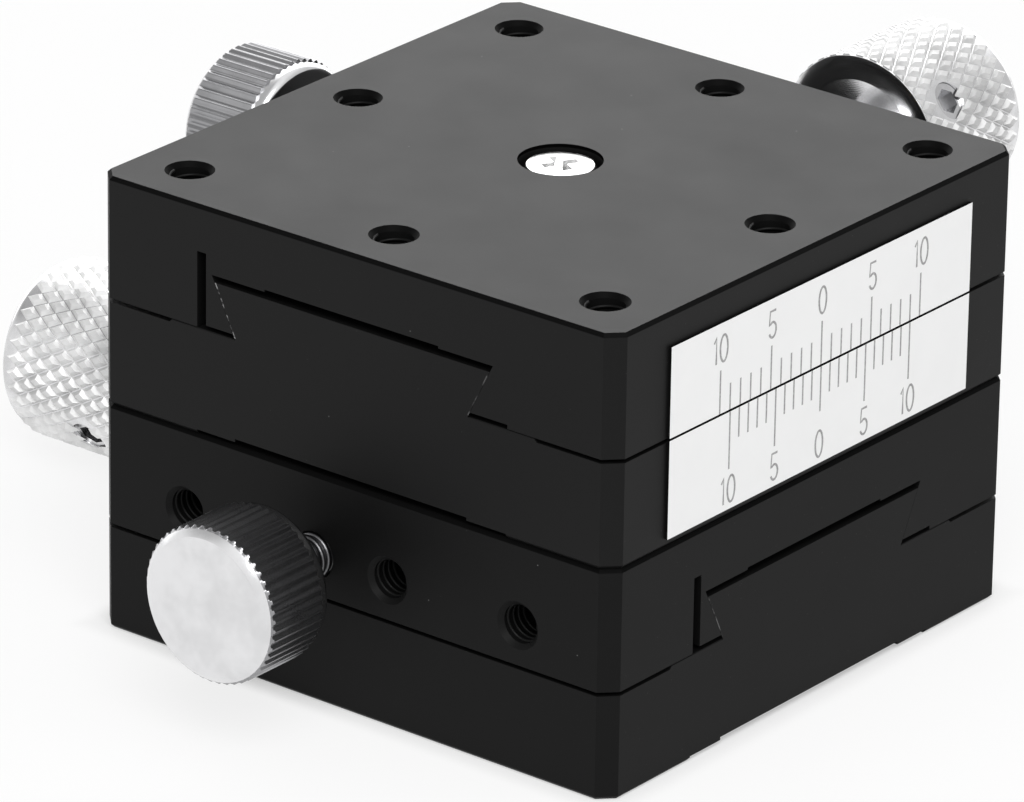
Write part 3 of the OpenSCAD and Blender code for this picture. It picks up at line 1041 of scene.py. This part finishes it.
class ThreadTree(PatternTree):
    """A helical ridge on every incoming point, along the point's own direction."""

    corners = 4

    def __init__(self) -> None:
        """Builds the tree."""
        super().__init__("screw_thread", {
            "Radius": 1.25, "Pitch": 0.5, "Turns": 6.0, "Ridge": 0.14, "Steps": 28,
        })
        turns = self.size("Turns")
        helix = self.node("GeometryNodeCurveSpiral", None, {
            "Resolution": self.size("Steps"), "Rotations": turns,
            "Start Radius": self.size("Radius"), "End Radius": self.size("Radius"),
            "Height": turns * self.size("Pitch"),
        })
        ring = {"Resolution": self.corners, "Radius": self.size("Ridge")}
        section = self.node("GeometryNodeCurvePrimitiveCircle", {"mode": "RADIUS"}, ring)
        ridge = self.node("GeometryNodeCurveToMesh", None, {
            "Curve": helix.outputs[0], "Profile Curve": section.outputs[0], "Fill Caps": True,
        })
        vector = {"data_type": "FLOAT_VECTOR"}
        way = self.node("GeometryNodeInputNamedAttribute", vector, {"Name": "axis"})
        turn = self.aim(Axis.Z, way.outputs["Attribute"], {})
        self.close(self.start.outputs["Geometry"], ridge.outputs[0], Rotation=turn)


class GraduationTree(PatternTree):
    """Graduation lines along Y, each standing on z = 0, with longer ones at every fifth."""

    long_every = 5.0
    near = 0.5

    def __init__(self) -> None:
        """Builds the tree."""
        super().__init__("graduation", {
            "Count": 21, "Division": 1.0, "Short": 1.9, "Long": 3.0, "Zero": 3.0, "Line": 0.12,
            "Film": 0.01, "Way": 1.0,
        })
        number = self.index() - (self.size("Count") - 1.0) / 2.0
        fifth = (abs(number) % self.long_every) < self.near
        middle = abs(number) < self.near
        marked = self.size("Long") + middle * (self.size("Zero") - self.size("Long"))
        length = self.size("Short") + fifth * (marked - self.size("Short"))
        film = self.size("Film")
        along = number * self.size("Division")
        spot = self.join(film * 0.5, along, length * self.size("Way") * 0.5)
        cloud = self.points(self.size("Count"), spot)
        bar = self.node("GeometryNodeMeshCube", None, {"Size": (1.0, 1.0, 1.0)})
        self.close(cloud, bar.outputs[0], Scale=self.join(film, self.size("Line"), length))


class Tree(Enum):
    """The pattern trees, each built once when it is first needed."""

    KNURL = DiamondKnurlTree
    ROUND = RoundArrayTree
    THREAD = ThreadTree
    GRADUATION = GraduationTree

    @property
    def made(self) -> PatternTree:
        """The tree, built on first use."""
        if self not in TREES:
            TREES[self] = self.value()
        return TREES[self]


TREES: dict[Tree, PatternTree] = {}


@dataclass
class DriveKnob:
    """Knurled grip on the end of a lead screw, in millimetres with the screw along Z."""

    slide: Slide
    radius: float = 6.0
    knurl_depth: float = 0.26
    knurl_start: float = 0.1
    knurl_short: float = 0.55
    knurl_bend: float = 1.0
    knurl_bend_start: float = 1.25
    count: int = 35
    rows: int = 10
    flat: float = 0.44
    end_round: float = 0.7
    edge: float = 0.06
    dish_radius: float = 4.3
    dish_depth: float = 0.8
    bore: float = 2.0
    wall: float = 2.0
    hole_radius: float = 1.25
    hole_height: float = 3.2
    hole_clear: float = 0.25
    hole_segments: int = 40
    segments: int = 144

    def place(self) -> Matrix:
        """Where the grip's inner face stands, with Z along the screw."""
        return self.slide.stand("drive_knob", Axis.Y)[0]

    def length(self) -> float:
        """Length of the grip in millimetres."""
        return self.slide.stand("drive_knob", Axis.Y)[1]

    def profile(self) -> list[Point]:
        """Half section of the grip under its knurl.

        Returns:
            Points (radius, height) from the axis back to the axis.
        """
        length = self.length()
        core = self.radius - self.knurl_depth
        lip = self.radius - self.edge
        floor = length - self.wall
        return [
            (0.0, floor), (self.bore, floor), (self.bore, self.dish_depth),
            (self.dish_radius, self.edge / 2), (self.dish_radius + self.edge, 0.0),
            (lip - self.edge, 0.0), (lip, self.edge / 2), (lip, self.knurl_start),
            (core, self.knurl_start + self.edge),
            *MeshWork.round_over(core, length, self.end_round), (0.0, length),
        ]

    def hole_turn(self) -> float:
        """Turn of the set screw about Z, from its solid's place.

        Returns:
            The angle in radians.
        """
        low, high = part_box(self.slide.node("knob_screw"))
        spot = self.place().inverted() @ ((low + high) / 2)
        return math.atan2(spot.y, spot.x)

    def drill(self, aim: float) -> bmesh.types.BMesh:
        """The space of the set screw's hole.

        Args:
            aim: The hole's turn about Z in radians.

        Returns:
            A closed shape from half the radius outwards.
        """
        bm = bmesh.new()
        bmesh.ops.create_cone(
            bm, cap_ends=True, segments=self.hole_segments, radius1=self.hole_radius,
            radius2=self.hole_radius, depth=self.radius,
        )
        lift = Matrix.Translation((0, 0, self.hole_height))
        turn = Matrix.Rotation(aim, 4, "Z") @ Matrix.Rotation(QUARTER_TURN, 4, "Y")
        bm.transform(lift @ turn @ Matrix.Translation((0, 0, self.radius)))
        return bm

    def clip(self, knurl: bpy.types.Object) -> None:
        """Cuts the knurl's end rows square, and closes the cuts.

        Args:
            knurl: The knurl, changed in place.
        """
        bm = bmesh.new()
        bm.from_mesh(knurl.data)
        place = self.place()
        far = self.length() - self.knurl_short + self.edge
        for height, way in ((self.knurl_start, -1.0), (far, 1.0)):
            result = bmesh.ops.bisect_plane(
                bm,
                geom=[*bm.verts, *bm.edges, *bm.faces],
                plane_co=place @ Vector((0.0, 0.0, height * MM)),
                plane_no=place.to_3x3() @ Vector((0.0, 0.0, way)),
                clear_outer=True,
            )
            rim = [item for item in result["geom_cut"] if isinstance(item, bmesh.types.BMEdge)]
            bmesh.ops.holes_fill(bm, edges=rim)
        bmesh.ops.recalc_face_normals(bm, faces=bm.faces)
        bm.to_mesh(knurl.data)
        bm.free()

    def build(
        self, polish: bpy.types.Material, grip: bpy.types.Material
    ) -> list[bpy.types.Object]:
        """Makes the grip's core and its knurl.

        Args:
            polish: The finish of the core.
            grip: The finish of the knurl.

        Returns:
            The two pieces.
        """
        name = self.slide.node("drive_knob")
        shape = MeshWork.revolve(self.profile(), self.segments)
        core = MeshWork.piece(f"{name}_core", shape, self.place(), polish)
        aim = self.hole_turn()
        drill = MeshWork.piece(f"{name}_drill", self.drill(aim), self.place(), grip)
        MeshWork.cut(core, [drill])
        length = self.length()
        sizes = {
            "Radius": self.radius, "Count": self.count, "Rows": self.rows + 1,
            "First": self.knurl_start,
            "Step": (length - self.knurl_start - self.knurl_short) / self.rows,
            "Height": self.knurl_depth, "Flat": self.flat, "Sink": self.edge,
            "Round": self.knurl_bend, "Round Start": length - self.knurl_bend_start,
            "Hole Height": self.hole_height, "Hole Turn": aim,
            "Hole Clear": self.hole_radius + self.hole_clear,
        }
        knurl = Tree.KNURL.made.build(f"{name}_knurl", sizes, grip, self.place())
        self.clip(knurl)
        body = self.slide.body("drive")
        for piece in (core, knurl):
            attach(piece, body)
        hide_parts(name)
        return [core, knurl]


@dataclass
class LockKnob:
    """Straight-knurled grip of a lock screw, in millimetres with Z from its outer end inwards."""

    slide: Slide
    crest: float = 5.05
    valley: float = 4.87
    flat: float = 4.45
    edge: float = 0.04
    chamfer: float = 0.42
    shoulder: float = 4.86
    shoulder_round: float = 0.5
    knurl: float = 5.0
    ridge_sink: float = 0.12
    ridge_steps: int = 5
    ridge_crease: float = 20.0
    bore: float = 1.53
    bore_chamfer: float = 0.2
    count: int = 50
    segments: int = 120

    def profile(self, whole: float) -> list[Point]:
        """Half section of the grip under its ridges.

        Args:
            whole: The grip's length.

        Returns:
            Points (radius, height) from the axis back to the axis.
        """
        return [
            (0.0, 0.0), (self.flat - self.edge, 0.0), (self.flat, self.edge / 2),
            (self.valley, self.chamfer), (self.valley, self.knurl), (self.shoulder, self.knurl),
            *MeshWork.round_over(self.shoulder, whole, self.shoulder_round),
            (self.bore + self.bore_chamfer, whole), (self.bore, whole - self.bore_chamfer),
            (self.bore, whole / 2), (0.0, whole / 2),
        ]

    def ridge(self) -> bpy.types.Mesh:
        """One rounded ridge of the knurl on the +X side, cut off by the chamfer.

        Returns:
            The ridge's mesh in millimetres.
        """
        half = math.pi * self.valley / self.count
        sink = self.valley - self.ridge_sink
        rise = self.crest - self.valley
        steps = [i / self.ridge_steps for i in range(-self.ridge_steps, self.ridge_steps + 1)]
        section = [(half * s, rise * (0.5 + 0.5 * math.cos(math.pi * s))) for s in steps]
        slope = (self.valley - self.flat) / self.chamfer
        run = rise / slope
        start = self.chamfer
        bm = bmesh.new()
        rows = []
        for height in (start - self.edge / 2, start + run / 2, start + run, self.knurl):
            limit = self.flat + slope * height - self.valley
            top = [bm.verts.new((self.valley + min(h, limit), w, height)) for w, h in section]
            foot = [bm.verts.new((sink, side, height)) for side in (half, -half)]
            rows.append(top + foot)
        for near, far in zip(rows, rows[1:]):
            for i in range(len(near)):
                j = (i + 1) % len(near)
                bm.faces.new((near[i], near[j], far[j], far[i]))
        bm.faces.new(rows[0])
        bm.faces.new(rows[-1])
        bmesh.ops.recalc_face_normals(bm, faces=bm.faces)
        return MeshWork.mesh("ridge", bm)

    def build(
        self, polish: bpy.types.Material, grip: bpy.types.Material
    ) -> list[bpy.types.Object]:
        """Makes the grip's core and its ridges.

        Args:
            polish: The finish of the core.
            grip: The finish of the ridges.

        Returns:
            The two pieces.
        """
        name = self.slide.node("lock_knob")
        place, whole = self.slide.stand("lock_knob", Axis.X)
        shape = MeshWork.revolve(self.profile(whole), self.segments)
        core = MeshWork.piece(f"{name}_core", shape, place, polish)
        sizes = {"Count": self.count}
        ridges = Tree.ROUND.made.build(f"{name}_ridges", sizes, grip, place, self.ridge())
        MeshWork.shade(ridges.data, self.ridge_crease)
        for piece in (core, ridges):
            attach(piece, self.slide.body("lock_grip"))
        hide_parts(name)
        return [core, ridges]


@dataclass
class ScrewThreads:
    """Threads of the lock screws and the tapped holes, in millimetres."""

    pitch: float = 0.5
    lead_in: float = 0.4
    hole_radius: float = 1.25
    hole_sink: float = 0.02
    hole_ridge: float = 0.15
    hole_steps: int = 26
    hole_short: float = 0.6
    stud_radius: float = 1.5
    stud_depth: float = 0.24
    stud_lift: float = 0.03
    stud_ridge: float = 0.21
    stud_steps: int = 30
    stud_short: float = 0.8
    tip: Point = (0.25, 0.3)
    segments: int = 48

    @staticmethod
    def seeds(places: Sequence[Vector], way: Vector) -> bpy.types.Mesh:
        """Points that carry the direction of their threads.

        Args:
            places: Where the threads start, in millimetres.
            way: The direction that they run in.

        Returns:
            A mesh of loose points.
        """
        mesh = bpy.data.meshes.new("seeds")
        mesh.from_pydata([tuple(place) for place in places], [], [])
        axis = mesh.attributes.new("axis", "FLOAT_VECTOR", "POINT")
        for item in axis.data:
            item.vector = way
        return mesh

    def holes(
        self,
        name: str,
        places: Sequence[Vector],
        way: Vector,
        depth: float,
        body: str,
        finish: bpy.types.Material,
    ) -> bpy.types.Object:
        """Makes the thread ridges inside a set of equal tapped holes.

        Args:
            name: The piece's name.
            places: The holes' mouths, in the stage's frame.
            way: The direction from the mouths inwards.
            depth: Depth of the threads.
            body: The body that has the holes.
            finish: The finish of the holes' walls.

        Returns:
            The piece.
        """
        seeds = self.seeds([place + way * self.lead_in for place in places], way)
        sizes = {
            "Radius": self.hole_radius + self.hole_sink, "Pitch": self.pitch,
            "Turns": (depth - self.hole_short) / self.pitch, "Ridge": self.hole_ridge,
            "Steps": self.hole_steps,
        }
        piece = Tree.THREAD.made.build(name, sizes, finish, Matrix.Identity(4), seeds)
        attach(piece, body)
        return piece

    def stud(self, slide: Slide, finish: bpy.types.Material) -> list[bpy.types.Object]:
        """Makes a lock screw with its thread.

        Args:
            slide: The slide that it locks.
            finish: Its finish.

        Returns:
            The core and the thread.
        """
        name = slide.node("lock_stud")
        place, length = slide.stand("lock_stud", Axis.X)
        root = self.stud_radius - self.stud_depth
        across, along = self.tip
        profile = [
            (0.0, 0.0), (root, 0.0), (root, length - along), (root - across, length), (0.0, length),
        ]
        shape = MeshWork.revolve(profile, self.segments)
        core = MeshWork.piece(f"{name}_core", shape, place, finish)
        sizes = {
            "Radius": root + self.stud_lift, "Pitch": self.pitch,
            "Turns": (length - self.stud_short) / self.pitch, "Ridge": self.stud_ridge,
            "Steps": self.stud_steps,
        }
        seed = self.seeds([Vector((0.0, 0.0, self.lead_in))], Vector((0.0, 0.0, 1.0)))
        thread = Tree.THREAD.made.build(f"{name}_thread", sizes, finish, place, seed)
        for piece in (core, thread):
            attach(piece, slide.body("lock_screw"))
        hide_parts(name)
        return [core, thread]


@dataclass
class TappedHoles:
    """The table's holes and the gib screws' holes, in millimetres."""

    threads: ScrewThreads
    pitch: float = 16.0
    table_depth: float = 3.4
    gib_depth: float = 2.6
    gib_places: Triple = (-13.0, -3.0, 13.0)

    def build(self, wall: bpy.types.Material) -> list[bpy.types.Object]:
        """Makes the threads.

        Args:
            wall: The finish of the holes' walls.

        Returns:
            One piece for the table and one for each slide's gib screws.
        """
        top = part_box("upper_carriage")[1].z / MM
        steps = (-self.pitch, 0.0, self.pitch)
        grid = [Vector((x, y, top)) for x in steps for y in steps if x or y]
        down = Vector((0, 0, -1))
        holes = self.threads.holes
        pieces = [
            holes("table_hole_threads", grid, down, self.table_depth, "upper_slide", wall),
        ]
        for slide in Slide:
            low, high = slide.box("gib_screws")
            height = (low.z + high.z) / 2 / MM
            mouth = slide.box("carriage")[0].x / MM
            turn = slide.place.to_3x3()
            lift = slide.place.translation / MM
            spots = [turn @ Vector((mouth, y, height)) + lift for y in self.gib_places]
            inward = turn @ Vector((1, 0, 0))
            name = slide.node("gib_hole_threads")
            body = slide.body("slide")
            pieces.append(holes(name, spots, inward, self.gib_depth, body, wall))
        return pieces


@dataclass
class NutScrewHead:
    """Pan-head screw with a cross recess that holds the upper feed nut, in millimetres."""

    slide: Slide = Slide.UPPER
    head_radius: float = 2.25
    head_height: float = 1.75
    crown_drop: float = 0.14
    crown_turns: tuple[float, ...] = (0.25, 0.5, 0.75, 1.0, 1.2)
    rim_drop: float = 0.3
    edge: float = 0.08
    shank_radius: float = 1.25
    shank_length: float = 0.9
    thread_root: float = 0.99
    thread_start: float = 1.1
    wing: float = 2.5
    wing_width: float = 0.62
    wing_foot: Point = (0.42, 0.72)
    wing_mouth: Point = (1.06, 1.05)
    recess_depth: float = 1.05
    recess_over: float = 0.2
    turn_deg: float = 62.0
    segments: int = 72

    def profile(self, whole: float) -> list[Point]:
        """Half section of the screw, with its crown at height 0.

        Args:
            whole: The screw's length.

        Returns:
            Points (radius, height) from the axis back to the axis.
        """
        r, foot, drop = self.head_radius, -self.head_height, self.crown_drop
        return [
            (0.0, 0.0), *((r * math.sin(t), -drop * (1 - math.cos(t))) for t in self.crown_turns),
            (r, -self.rim_drop), (r, foot + self.edge), (r - self.edge, foot),
            (self.shank_radius, foot), (self.shank_radius, foot - self.shank_length),
            (self.thread_root, foot - self.thread_start), (self.thread_root, -whole), (0.0, -whole),
        ]

    def recess(self, turn_deg: float) -> bmesh.types.BMesh:
        """The space of one slot of the cross.

        Args:
            turn_deg: The slot's turn about Z in degrees.

        Returns:
            A closed shape that narrows downwards.
        """
        bm = bmesh.new()
        bmesh.ops.create_cube(bm, size=1.0)
        for vert in bm.verts:
            deep = vert.co.z < 0
            part = self.wing_foot if deep else self.wing_mouth
            vert.co.x *= self.wing * part[0]
            vert.co.y *= self.wing_width * part[1]
            vert.co.z = -self.recess_depth if deep else self.recess_over
        bm.transform(Matrix.Rotation(math.radians(turn_deg), 4, "Z"))
        return bm

    def build(self, finish: bpy.types.Material) -> bpy.types.Object:
        """Makes the screw.

        Args:
            finish: Its finish.

        Returns:
            The piece.
        """
        name = self.slide.node("nut_screw")
        low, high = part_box(name)
        place = Matrix.Translation(((low.x + high.x) / 2, (low.y + high.y) / 2, high.z))
        shape = MeshWork.revolve(self.profile((high.z - low.z) / MM), self.segments)
        piece = MeshWork.piece(name + "_turned", shape, place, finish)
        slots = [self.recess(self.turn_deg + 90 * i) for i in range(2)]
        cutters = [
            MeshWork.piece(f"{name}_wing_{i}", slot, place, finish) for i, slot in enumerate(slots)
        ]
        MeshWork.cut(piece, cutters)
        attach(piece, self.slide.body("slide"))
        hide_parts(name)
        return piece


def oval(middle: Point, size: Point, turns: range) -> list[Point]:
    """Points on an oval.

    Args:
        middle: Its centre.
        size: Its two half widths.
        turns: Clockwise angles from the top, in degrees.

    Returns:
        The points.
    """
    angles = [math.radians(turn) for turn in turns]
    return [
        (middle[0] + size[0] * math.sin(a), middle[1] + size[1] * math.cos(a)) for a in angles
    ]


# The scales' digits, each one stroke in a box 1 high.
DIGITS: dict[str, list[Point]] = {
    "0": oval((0.0, 0.5), (0.21, 0.5), range(0, 361, 15)),
    "1": [(-0.1, 0.8), (0.03, 1.0), (0.03, 0.0)],
    "5": [
        (0.19, 1.0), (-0.13, 1.0), (-0.17, 0.5),
        *oval((0.02, 0.29), (0.2, 0.29), range(-35, 246, 20)),
    ],
}


@dataclass
class ScaleSide:
    """Print of one scale plate, in millimetres: its lines, and its digits above or below them."""

    node: str
    body: str
    division: float
    short: float
    long: float
    zero: float
    way: int
    offset: float
    digit_gap: float
    digit_height: float = 1.72
    digit_step: float = 0.46
    word_shift: float = -0.12
    stroke: float = 0.15
    line_part: float = 0.85
    rim: float = 0.03
    film: float = 0.012
    sink: float = 0.004
    count: int = 21
    marks: tuple[int, ...] = (-10, -5, 0, 5, 10)

    def edge(self) -> Point:
        """Face of the plate along X and the height of its edge at the sliding plane."""
        low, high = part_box(self.node)
        return (high.x / MM, (low.z if self.way > 0 else high.z) / MM)

    def ribbon(self, bm: bmesh.types.BMesh, line: Sequence[Point], face: float) -> None:
        """Adds one stroke as a thin closed film on the plate.

        Args:
            bm: The mesh that takes it.
            line: Its middle line (along Y, along Z).
            face: Where the plate's face is along X.
        """
        half = self.stroke / 2
        spots = [Vector(spot) for spot in line]
        last = len(spots) - 1
        rows = []
        for i, here in enumerate(spots):
            ahead = spots[min(i + 1, last)]
            before = (here - spots[i - 1]) if i else (ahead - here)
            after = (ahead - here) if i < last else before
            way = (before.normalized() + after.normalized()).normalized()
            side = Vector((-way.y, way.x)) * half
            rows.append([
                bm.verts.new((face + x, end.x, end.y))
                for x in (-self.sink, self.film) for end in (here + side, here - side)
            ])
        for a, b in zip(rows, rows[1:]):
            for i, j in ((0, 1), (1, 3), (3, 2), (2, 0)):
                bm.faces.new((a[i], a[j], b[j], b[i]))
        for end in (rows[0], rows[-1]):
            bm.faces.new((end[0], end[1], end[3], end[2]))

    def digits(self, ink: bpy.types.Material) -> bpy.types.Object:
        """Makes the numbers at the long lines.

        Args:
            ink: Their finish.

        Returns:
            The piece.
        """
        face, edge = self.edge()
        tall = self.digit_height
        reach = max(self.long, self.zero) + self.digit_gap
        foot = edge + reach if self.way > 0 else edge - reach - tall
        bm = bmesh.new()
        for mark in self.marks:
            word = str(abs(mark))
            more = len(word) - 1
            for i, digit in enumerate(word):
                step = (i - more / 2) * tall * self.digit_step
                middle = self.offset + mark * self.division + step + more * self.word_shift
                line = [(middle + x * tall, foot + y * tall) for x, y in DIGITS[digit]]
                self.ribbon(bm, line, face)
        bmesh.ops.recalc_face_normals(bm, faces=bm.faces)
        return MeshWork.piece(f"{self.node}_digits", bm, Matrix.Identity(4), ink, smooth=False)

    def build(self, ink: bpy.types.Material) -> list[bpy.types.Object]:
        """Makes the graduation and the digits.

        Args:
            ink: The finish of the print.

        Returns:
            The two pieces.
        """
        face, edge = self.edge()
        sizes = {
            "Count": self.count, "Division": self.division, "Short": self.short,
            "Long": self.long, "Zero": self.zero, "Line": self.stroke * self.line_part,
            "Film": self.film, "Way": float(self.way),
        }
        foot = (edge + self.way * self.rim) * MM
        place = Matrix.Translation((face * MM, self.offset * MM, foot))
        lines = Tree.GRADUATION.made.build(f"{self.node}_lines", sizes, ink, place)
        pieces = [lines, self.digits(ink)]
        for piece in pieces:
            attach(piece, self.body)
        return pieces


SCALES = (
    ScaleSide(
        "main_scale_plate", "upper_slide", division=1.0, short=1.7, long=2.8, zero=2.8, way=1,
        offset=-0.18, digit_gap=0.54,
    ),
    ScaleSide(
        "vernier_scale_plate", "lower_slide", division=0.9, short=1.9, long=3.7, zero=2.9, way=-1,
        offset=-0.14, digit_gap=0.5,
    ),
)


@dataclass(frozen=True)
class View:
    """The photograph's camera, in metres and degrees, with its lens in millimetres."""

    place: Triple = (0.29895, -0.38306, 0.22196)
    azimuth: float = 38.291
    elevation: float = 23.175
    roll: float = 0.883
    lens: float = 301.4
    sensor: float = 36.0
    near: float = 0.01
    far: float = 50.0

    def build(self) -> None:
        """Makes the camera."""
        a, e, r = (math.radians(v) for v in (self.azimuth, self.elevation, self.roll))
        back = Vector((math.sin(a) * math.cos(e), -math.cos(a) * math.cos(e), math.sin(e)))
        level = Vector((math.cos(a), math.sin(a), 0.0))
        rise = back.cross(level)
        right = level * math.cos(r) + rise * math.sin(r)
        up = rise * math.cos(r) - level * math.sin(r)
        data = bpy.data.cameras.new("camera")
        data.lens = self.lens
        data.sensor_width = self.sensor
        data.sensor_fit = "HORIZONTAL"
        data.clip_start = self.near
        data.clip_end = self.far
        camera = bpy.data.objects.new("camera", data)
        turn = Matrix((right, up, back)).transposed().to_4x4()
        camera.matrix_world = Matrix.Translation(self.place) @ turn
        bpy.context.scene.collection.objects.link(camera)
        bpy.context.scene.camera = camera


@dataclass(frozen=True)
class Softbox:
    """One large soft lamp that faces the stage."""

    name: str
    place: Triple
    size: float
    power: float
    target: Triple = (0.0, 0.0, 0.015)

    def build(self) -> None:
        """Makes the lamp."""
        data = bpy.data.lights.new(self.name, "AREA")
        data.shape = "SQUARE"
        data.size = self.size
        data.energy = self.power
        lamp = bpy.data.objects.new(self.name, data)
        way = Vector(self.target) - Vector(self.place)
        turn = way.to_track_quat("-Z", "Y").to_matrix().to_4x4()
        lamp.matrix_world = Matrix.Translation(self.place) @ turn
        bpy.context.scene.collection.objects.link(lamp)


@dataclass(frozen=True)
class RoomSide:
    """A side of the room that mirror images show brighter or darker than the rest."""

    way: Triple
    limits: Point
    light: float

    def mask(self, direction: Sequence[Value]) -> Value:
        """How far a direction lies in it, from 0 to 1."""
        x, y, z = (part * share for part, share in zip(direction, self.way))
        return (x + y + z).ease(*self.limits)


@dataclass(frozen=True)
class Studio:
    """White table, a soft lamp, and a room whose sides differ in mirror images.

    The room has a bright wall behind the stage, a dark patch at its left and a dim right side.
    """

    table_size: float = 3000.0
    table_tone: float = 0.95
    table_tones: Point = (0.99, 1.0)
    table_cloud: Noise = Noise(9.0, 3.0)
    table_rough: float = 0.7
    table_specular: float = 0.2
    table_white: float = 0.8
    contact_white: float = 0.42
    contact_reach: float = 1.8 * MM
    room_light: float = 0.6
    mirror: float = 1.0
    wall: RoomSide = RoomSide((-0.62, 0.79, 0.0), (0.45, 0.88), 3.2)
    patch: RoomSide = RoomSide((-0.57, -0.26, 0.78), (0.8, 0.98), 0.5)
    right: RoomSide = RoomSide((0.6, 0.75, 0.0), (0.45, 0.9), 0.7)
    lamps: tuple[Softbox, ...] = (Softbox("key_box", (0.727, -0.727, 1.226), 1.0, 15.5),)

    def table(self) -> None:
        """Makes the table top, which is near white to the camera but keeps the shadow, with a painted
        contact shadow round the stage's footprint.
        """
        g = SurfaceGraph(
            "table_white", Roughness=self.table_rough, Specular_IOR_Level=self.table_specular
        )
        cloud = g.noise(self.table_cloud)
        g.feed(Base_Color=g.greys(cloud, self.table_tone, self.table_tones))
        seen, mirrored = g.rays()
        x, y, _ = g.split(g.at)
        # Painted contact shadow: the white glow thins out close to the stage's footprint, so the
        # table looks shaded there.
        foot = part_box("lower_base")[1].y
        past_contact_shadow = (abs(x).most(abs(y)) - foot).ease(0.0, self.contact_reach)
        white = self.contact_white + past_contact_shadow * (self.table_white - self.contact_white)
        g.whiten(seen.most(mirrored) * white)
        bm = bmesh.new()
        bmesh.ops.create_grid(bm, x_segments=1, y_segments=1, size=self.table_size)
        low = CAD_BOX[0][2]
        table = MeshWork.piece("table_top", bm, Matrix.Translation((0.0, 0.0, low)), g.material)

    def room(self) -> None:
        """Makes the world: white to the camera, even for soft light, graded in mirror images."""
        world = bpy.data.worlds.new("room")
        bpy.context.scene.world = world
        world.use_nodes = True
        g = Graph(world.node_tree)
        g.tree.nodes.clear()
        direction = g.split(g.node("ShaderNodeTexCoord").outputs["Generated"])
        image: Number = self.mirror
        for side in (self.wall, self.patch, self.right):
            image = image + side.mask(direction) * (side.light - self.mirror)
        seen, mirrored = g.rays()
        lit = self.room_light + mirrored * (image - self.room_light)
        strength = seen + (1.0 - seen) * lit
        light = {"Color": grey(1.0), "Strength": strength}
        back = g.node("ShaderNodeBackground", None, light)
        g.node("ShaderNodeOutputWorld", None, {"Surface": back.outputs[0]})

    def build(self) -> None:
        """Makes the table, the room and the lamps."""
        self.table()
        self.room()
        for lamp in self.lamps:
            lamp.build()
        bpy.context.scene.view_settings.view_transform = "Standard"


class Wardrobe:
    """Gives every solid of the frame its finish."""

    @staticmethod
    def put(node: str, material: bpy.types.Material) -> None:
        """Gives one solid a finish.

        Args:
            node: The solid's name.
            material: The finish.
        """
        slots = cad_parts[node].data.materials
        slots.clear()
        slots.append(material)

    @staticmethod
    def turned(
        slide: Slide, part: str, name: str, axis: Axis, metal: Metal
    ) -> bpy.types.Material:
        """A turned finish that is centred on a solid.

        Args:
            slide: The solid's slide.
            part: The solid's name without the slide's.
            name: The finish's name without the slide's.
            axis: The direction of the solid's axis in the stage's frame.
            metal: The metal's colour and polish.

        Returns:
            The material.
        """
        low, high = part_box(slide.node(part))
        return TurnedMetal(slide.node(name), metal, axis, tuple((low + high) / 2)).build()

    @staticmethod
    def anodised(slide: Slide) -> bpy.types.Material:
        """The black of a slide's plates, with its own painted highlights at the dovetail flanks and
        painted shade along its edges and seams.

        Args:
            slide: The slide.

        Returns:
            The material.
        """
        name = slide.node("anodised")
        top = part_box(slide.node("carriage"))[1].z
        if slide is Slide.LOWER:
            wear = DovetailWear(slide, gib_share=0.15, far_share=0.0)
            return AnodisedBlack(name, specular=0.1, wear=wear, edge=DarkEdge((top,))).build()
        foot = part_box(slide.node("base"))[0].z
        return AnodisedBlack(name, wear=DovetailWear(slide), edge=DarkEdge((top, foot))).build()

    def dress(self) -> None:
        """Dresses the solids that stay."""
        oxide = BlackOxide("black_oxide").build()
        for slide in Slide:
            along = slide.axes[0]
            anodised = self.anodised(slide)
            bronze = self.turned(slide, "screw_bush", "bronze", along, BRONZE)
            finishes = {
                "base": anodised,
                "carriage": anodised,
                "shaft_collar": oxide,
                "collar_screw": oxide,
                "gib_screws": oxide,
                "knob_screw": self.turned(slide, "knob_screw", "set_steel", along, STEEL),
                "screw_bush": bronze,
                "feed_nut": bronze,
                "lead_screw": self.turned(slide, "lead_screw", "shaft_steel", along, STEEL),
                "nut_screw": self.turned(slide, "nut_screw", "screw_steel", Axis.Z, STEEL),
            }
            for part, finish in finishes.items():
                self.put(slide.node(part), finish)
        self.put("stack_screws", oxide)
        split = (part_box("vernier_scale_plate")[1].z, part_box("main_scale_plate")[0].z)
        white = PlateWhite("plate_white", split).build()
        self.put("main_scale_plate", white)
        self.put("vernier_scale_plate", white)


def main() -> None:
    """Builds the pieces, dresses the solids and sets up the studio."""
    logging.basicConfig(level=logging.INFO, format="%(message)s")
    View().build()
    Studio().build()
    wardrobe = Wardrobe()
    wardrobe.dress()
    made: list[bpy.types.Object] = []
    threads = ScrewThreads()
    for slide in Slide:
        along, across = slide.axes
        polish = wardrobe.turned(slide, "drive_knob", "knob_polish", along, KNOB_POLISH)
        grip = wardrobe.turned(slide, "drive_knob", "knob_grip", along, KNOB_GRIP[slide])
        made += DriveKnob(slide).build(polish, grip)
        lock = wardrobe.turned(slide, "lock_knob", "lock_polish", across, LOCK_POLISH)
        ridged = wardrobe.turned(slide, "lock_knob", "lock_grip", across, LOCK_GRIP_SHADED)
        made += LockKnob(slide).build(lock, ridged)
        stud = wardrobe.turned(slide, "lock_stud", "stud_steel", across, STUD_STEEL_SHADED)
        made += threads.stud(slide, stud)
    wall = AnodisedBlack("hole_wall", roughness=0.45, specular=0.13).build()
    made += TappedHoles(threads).build(wall)
    pan = wardrobe.turned(Slide.UPPER, "nut_screw", "pan_steel", Axis.Z, PAN_STEEL)
    made.append(NutScrewHead().build(pan))
    ink = ScaleInk("scale_ink").build()
    for scale in SCALES:
        made += scale.build(ink)
    for piece in made:
        LOG.info("%s: %d faces", piece.name, len(piece.data.polygons))


if __name__ == "__main__":
    main()
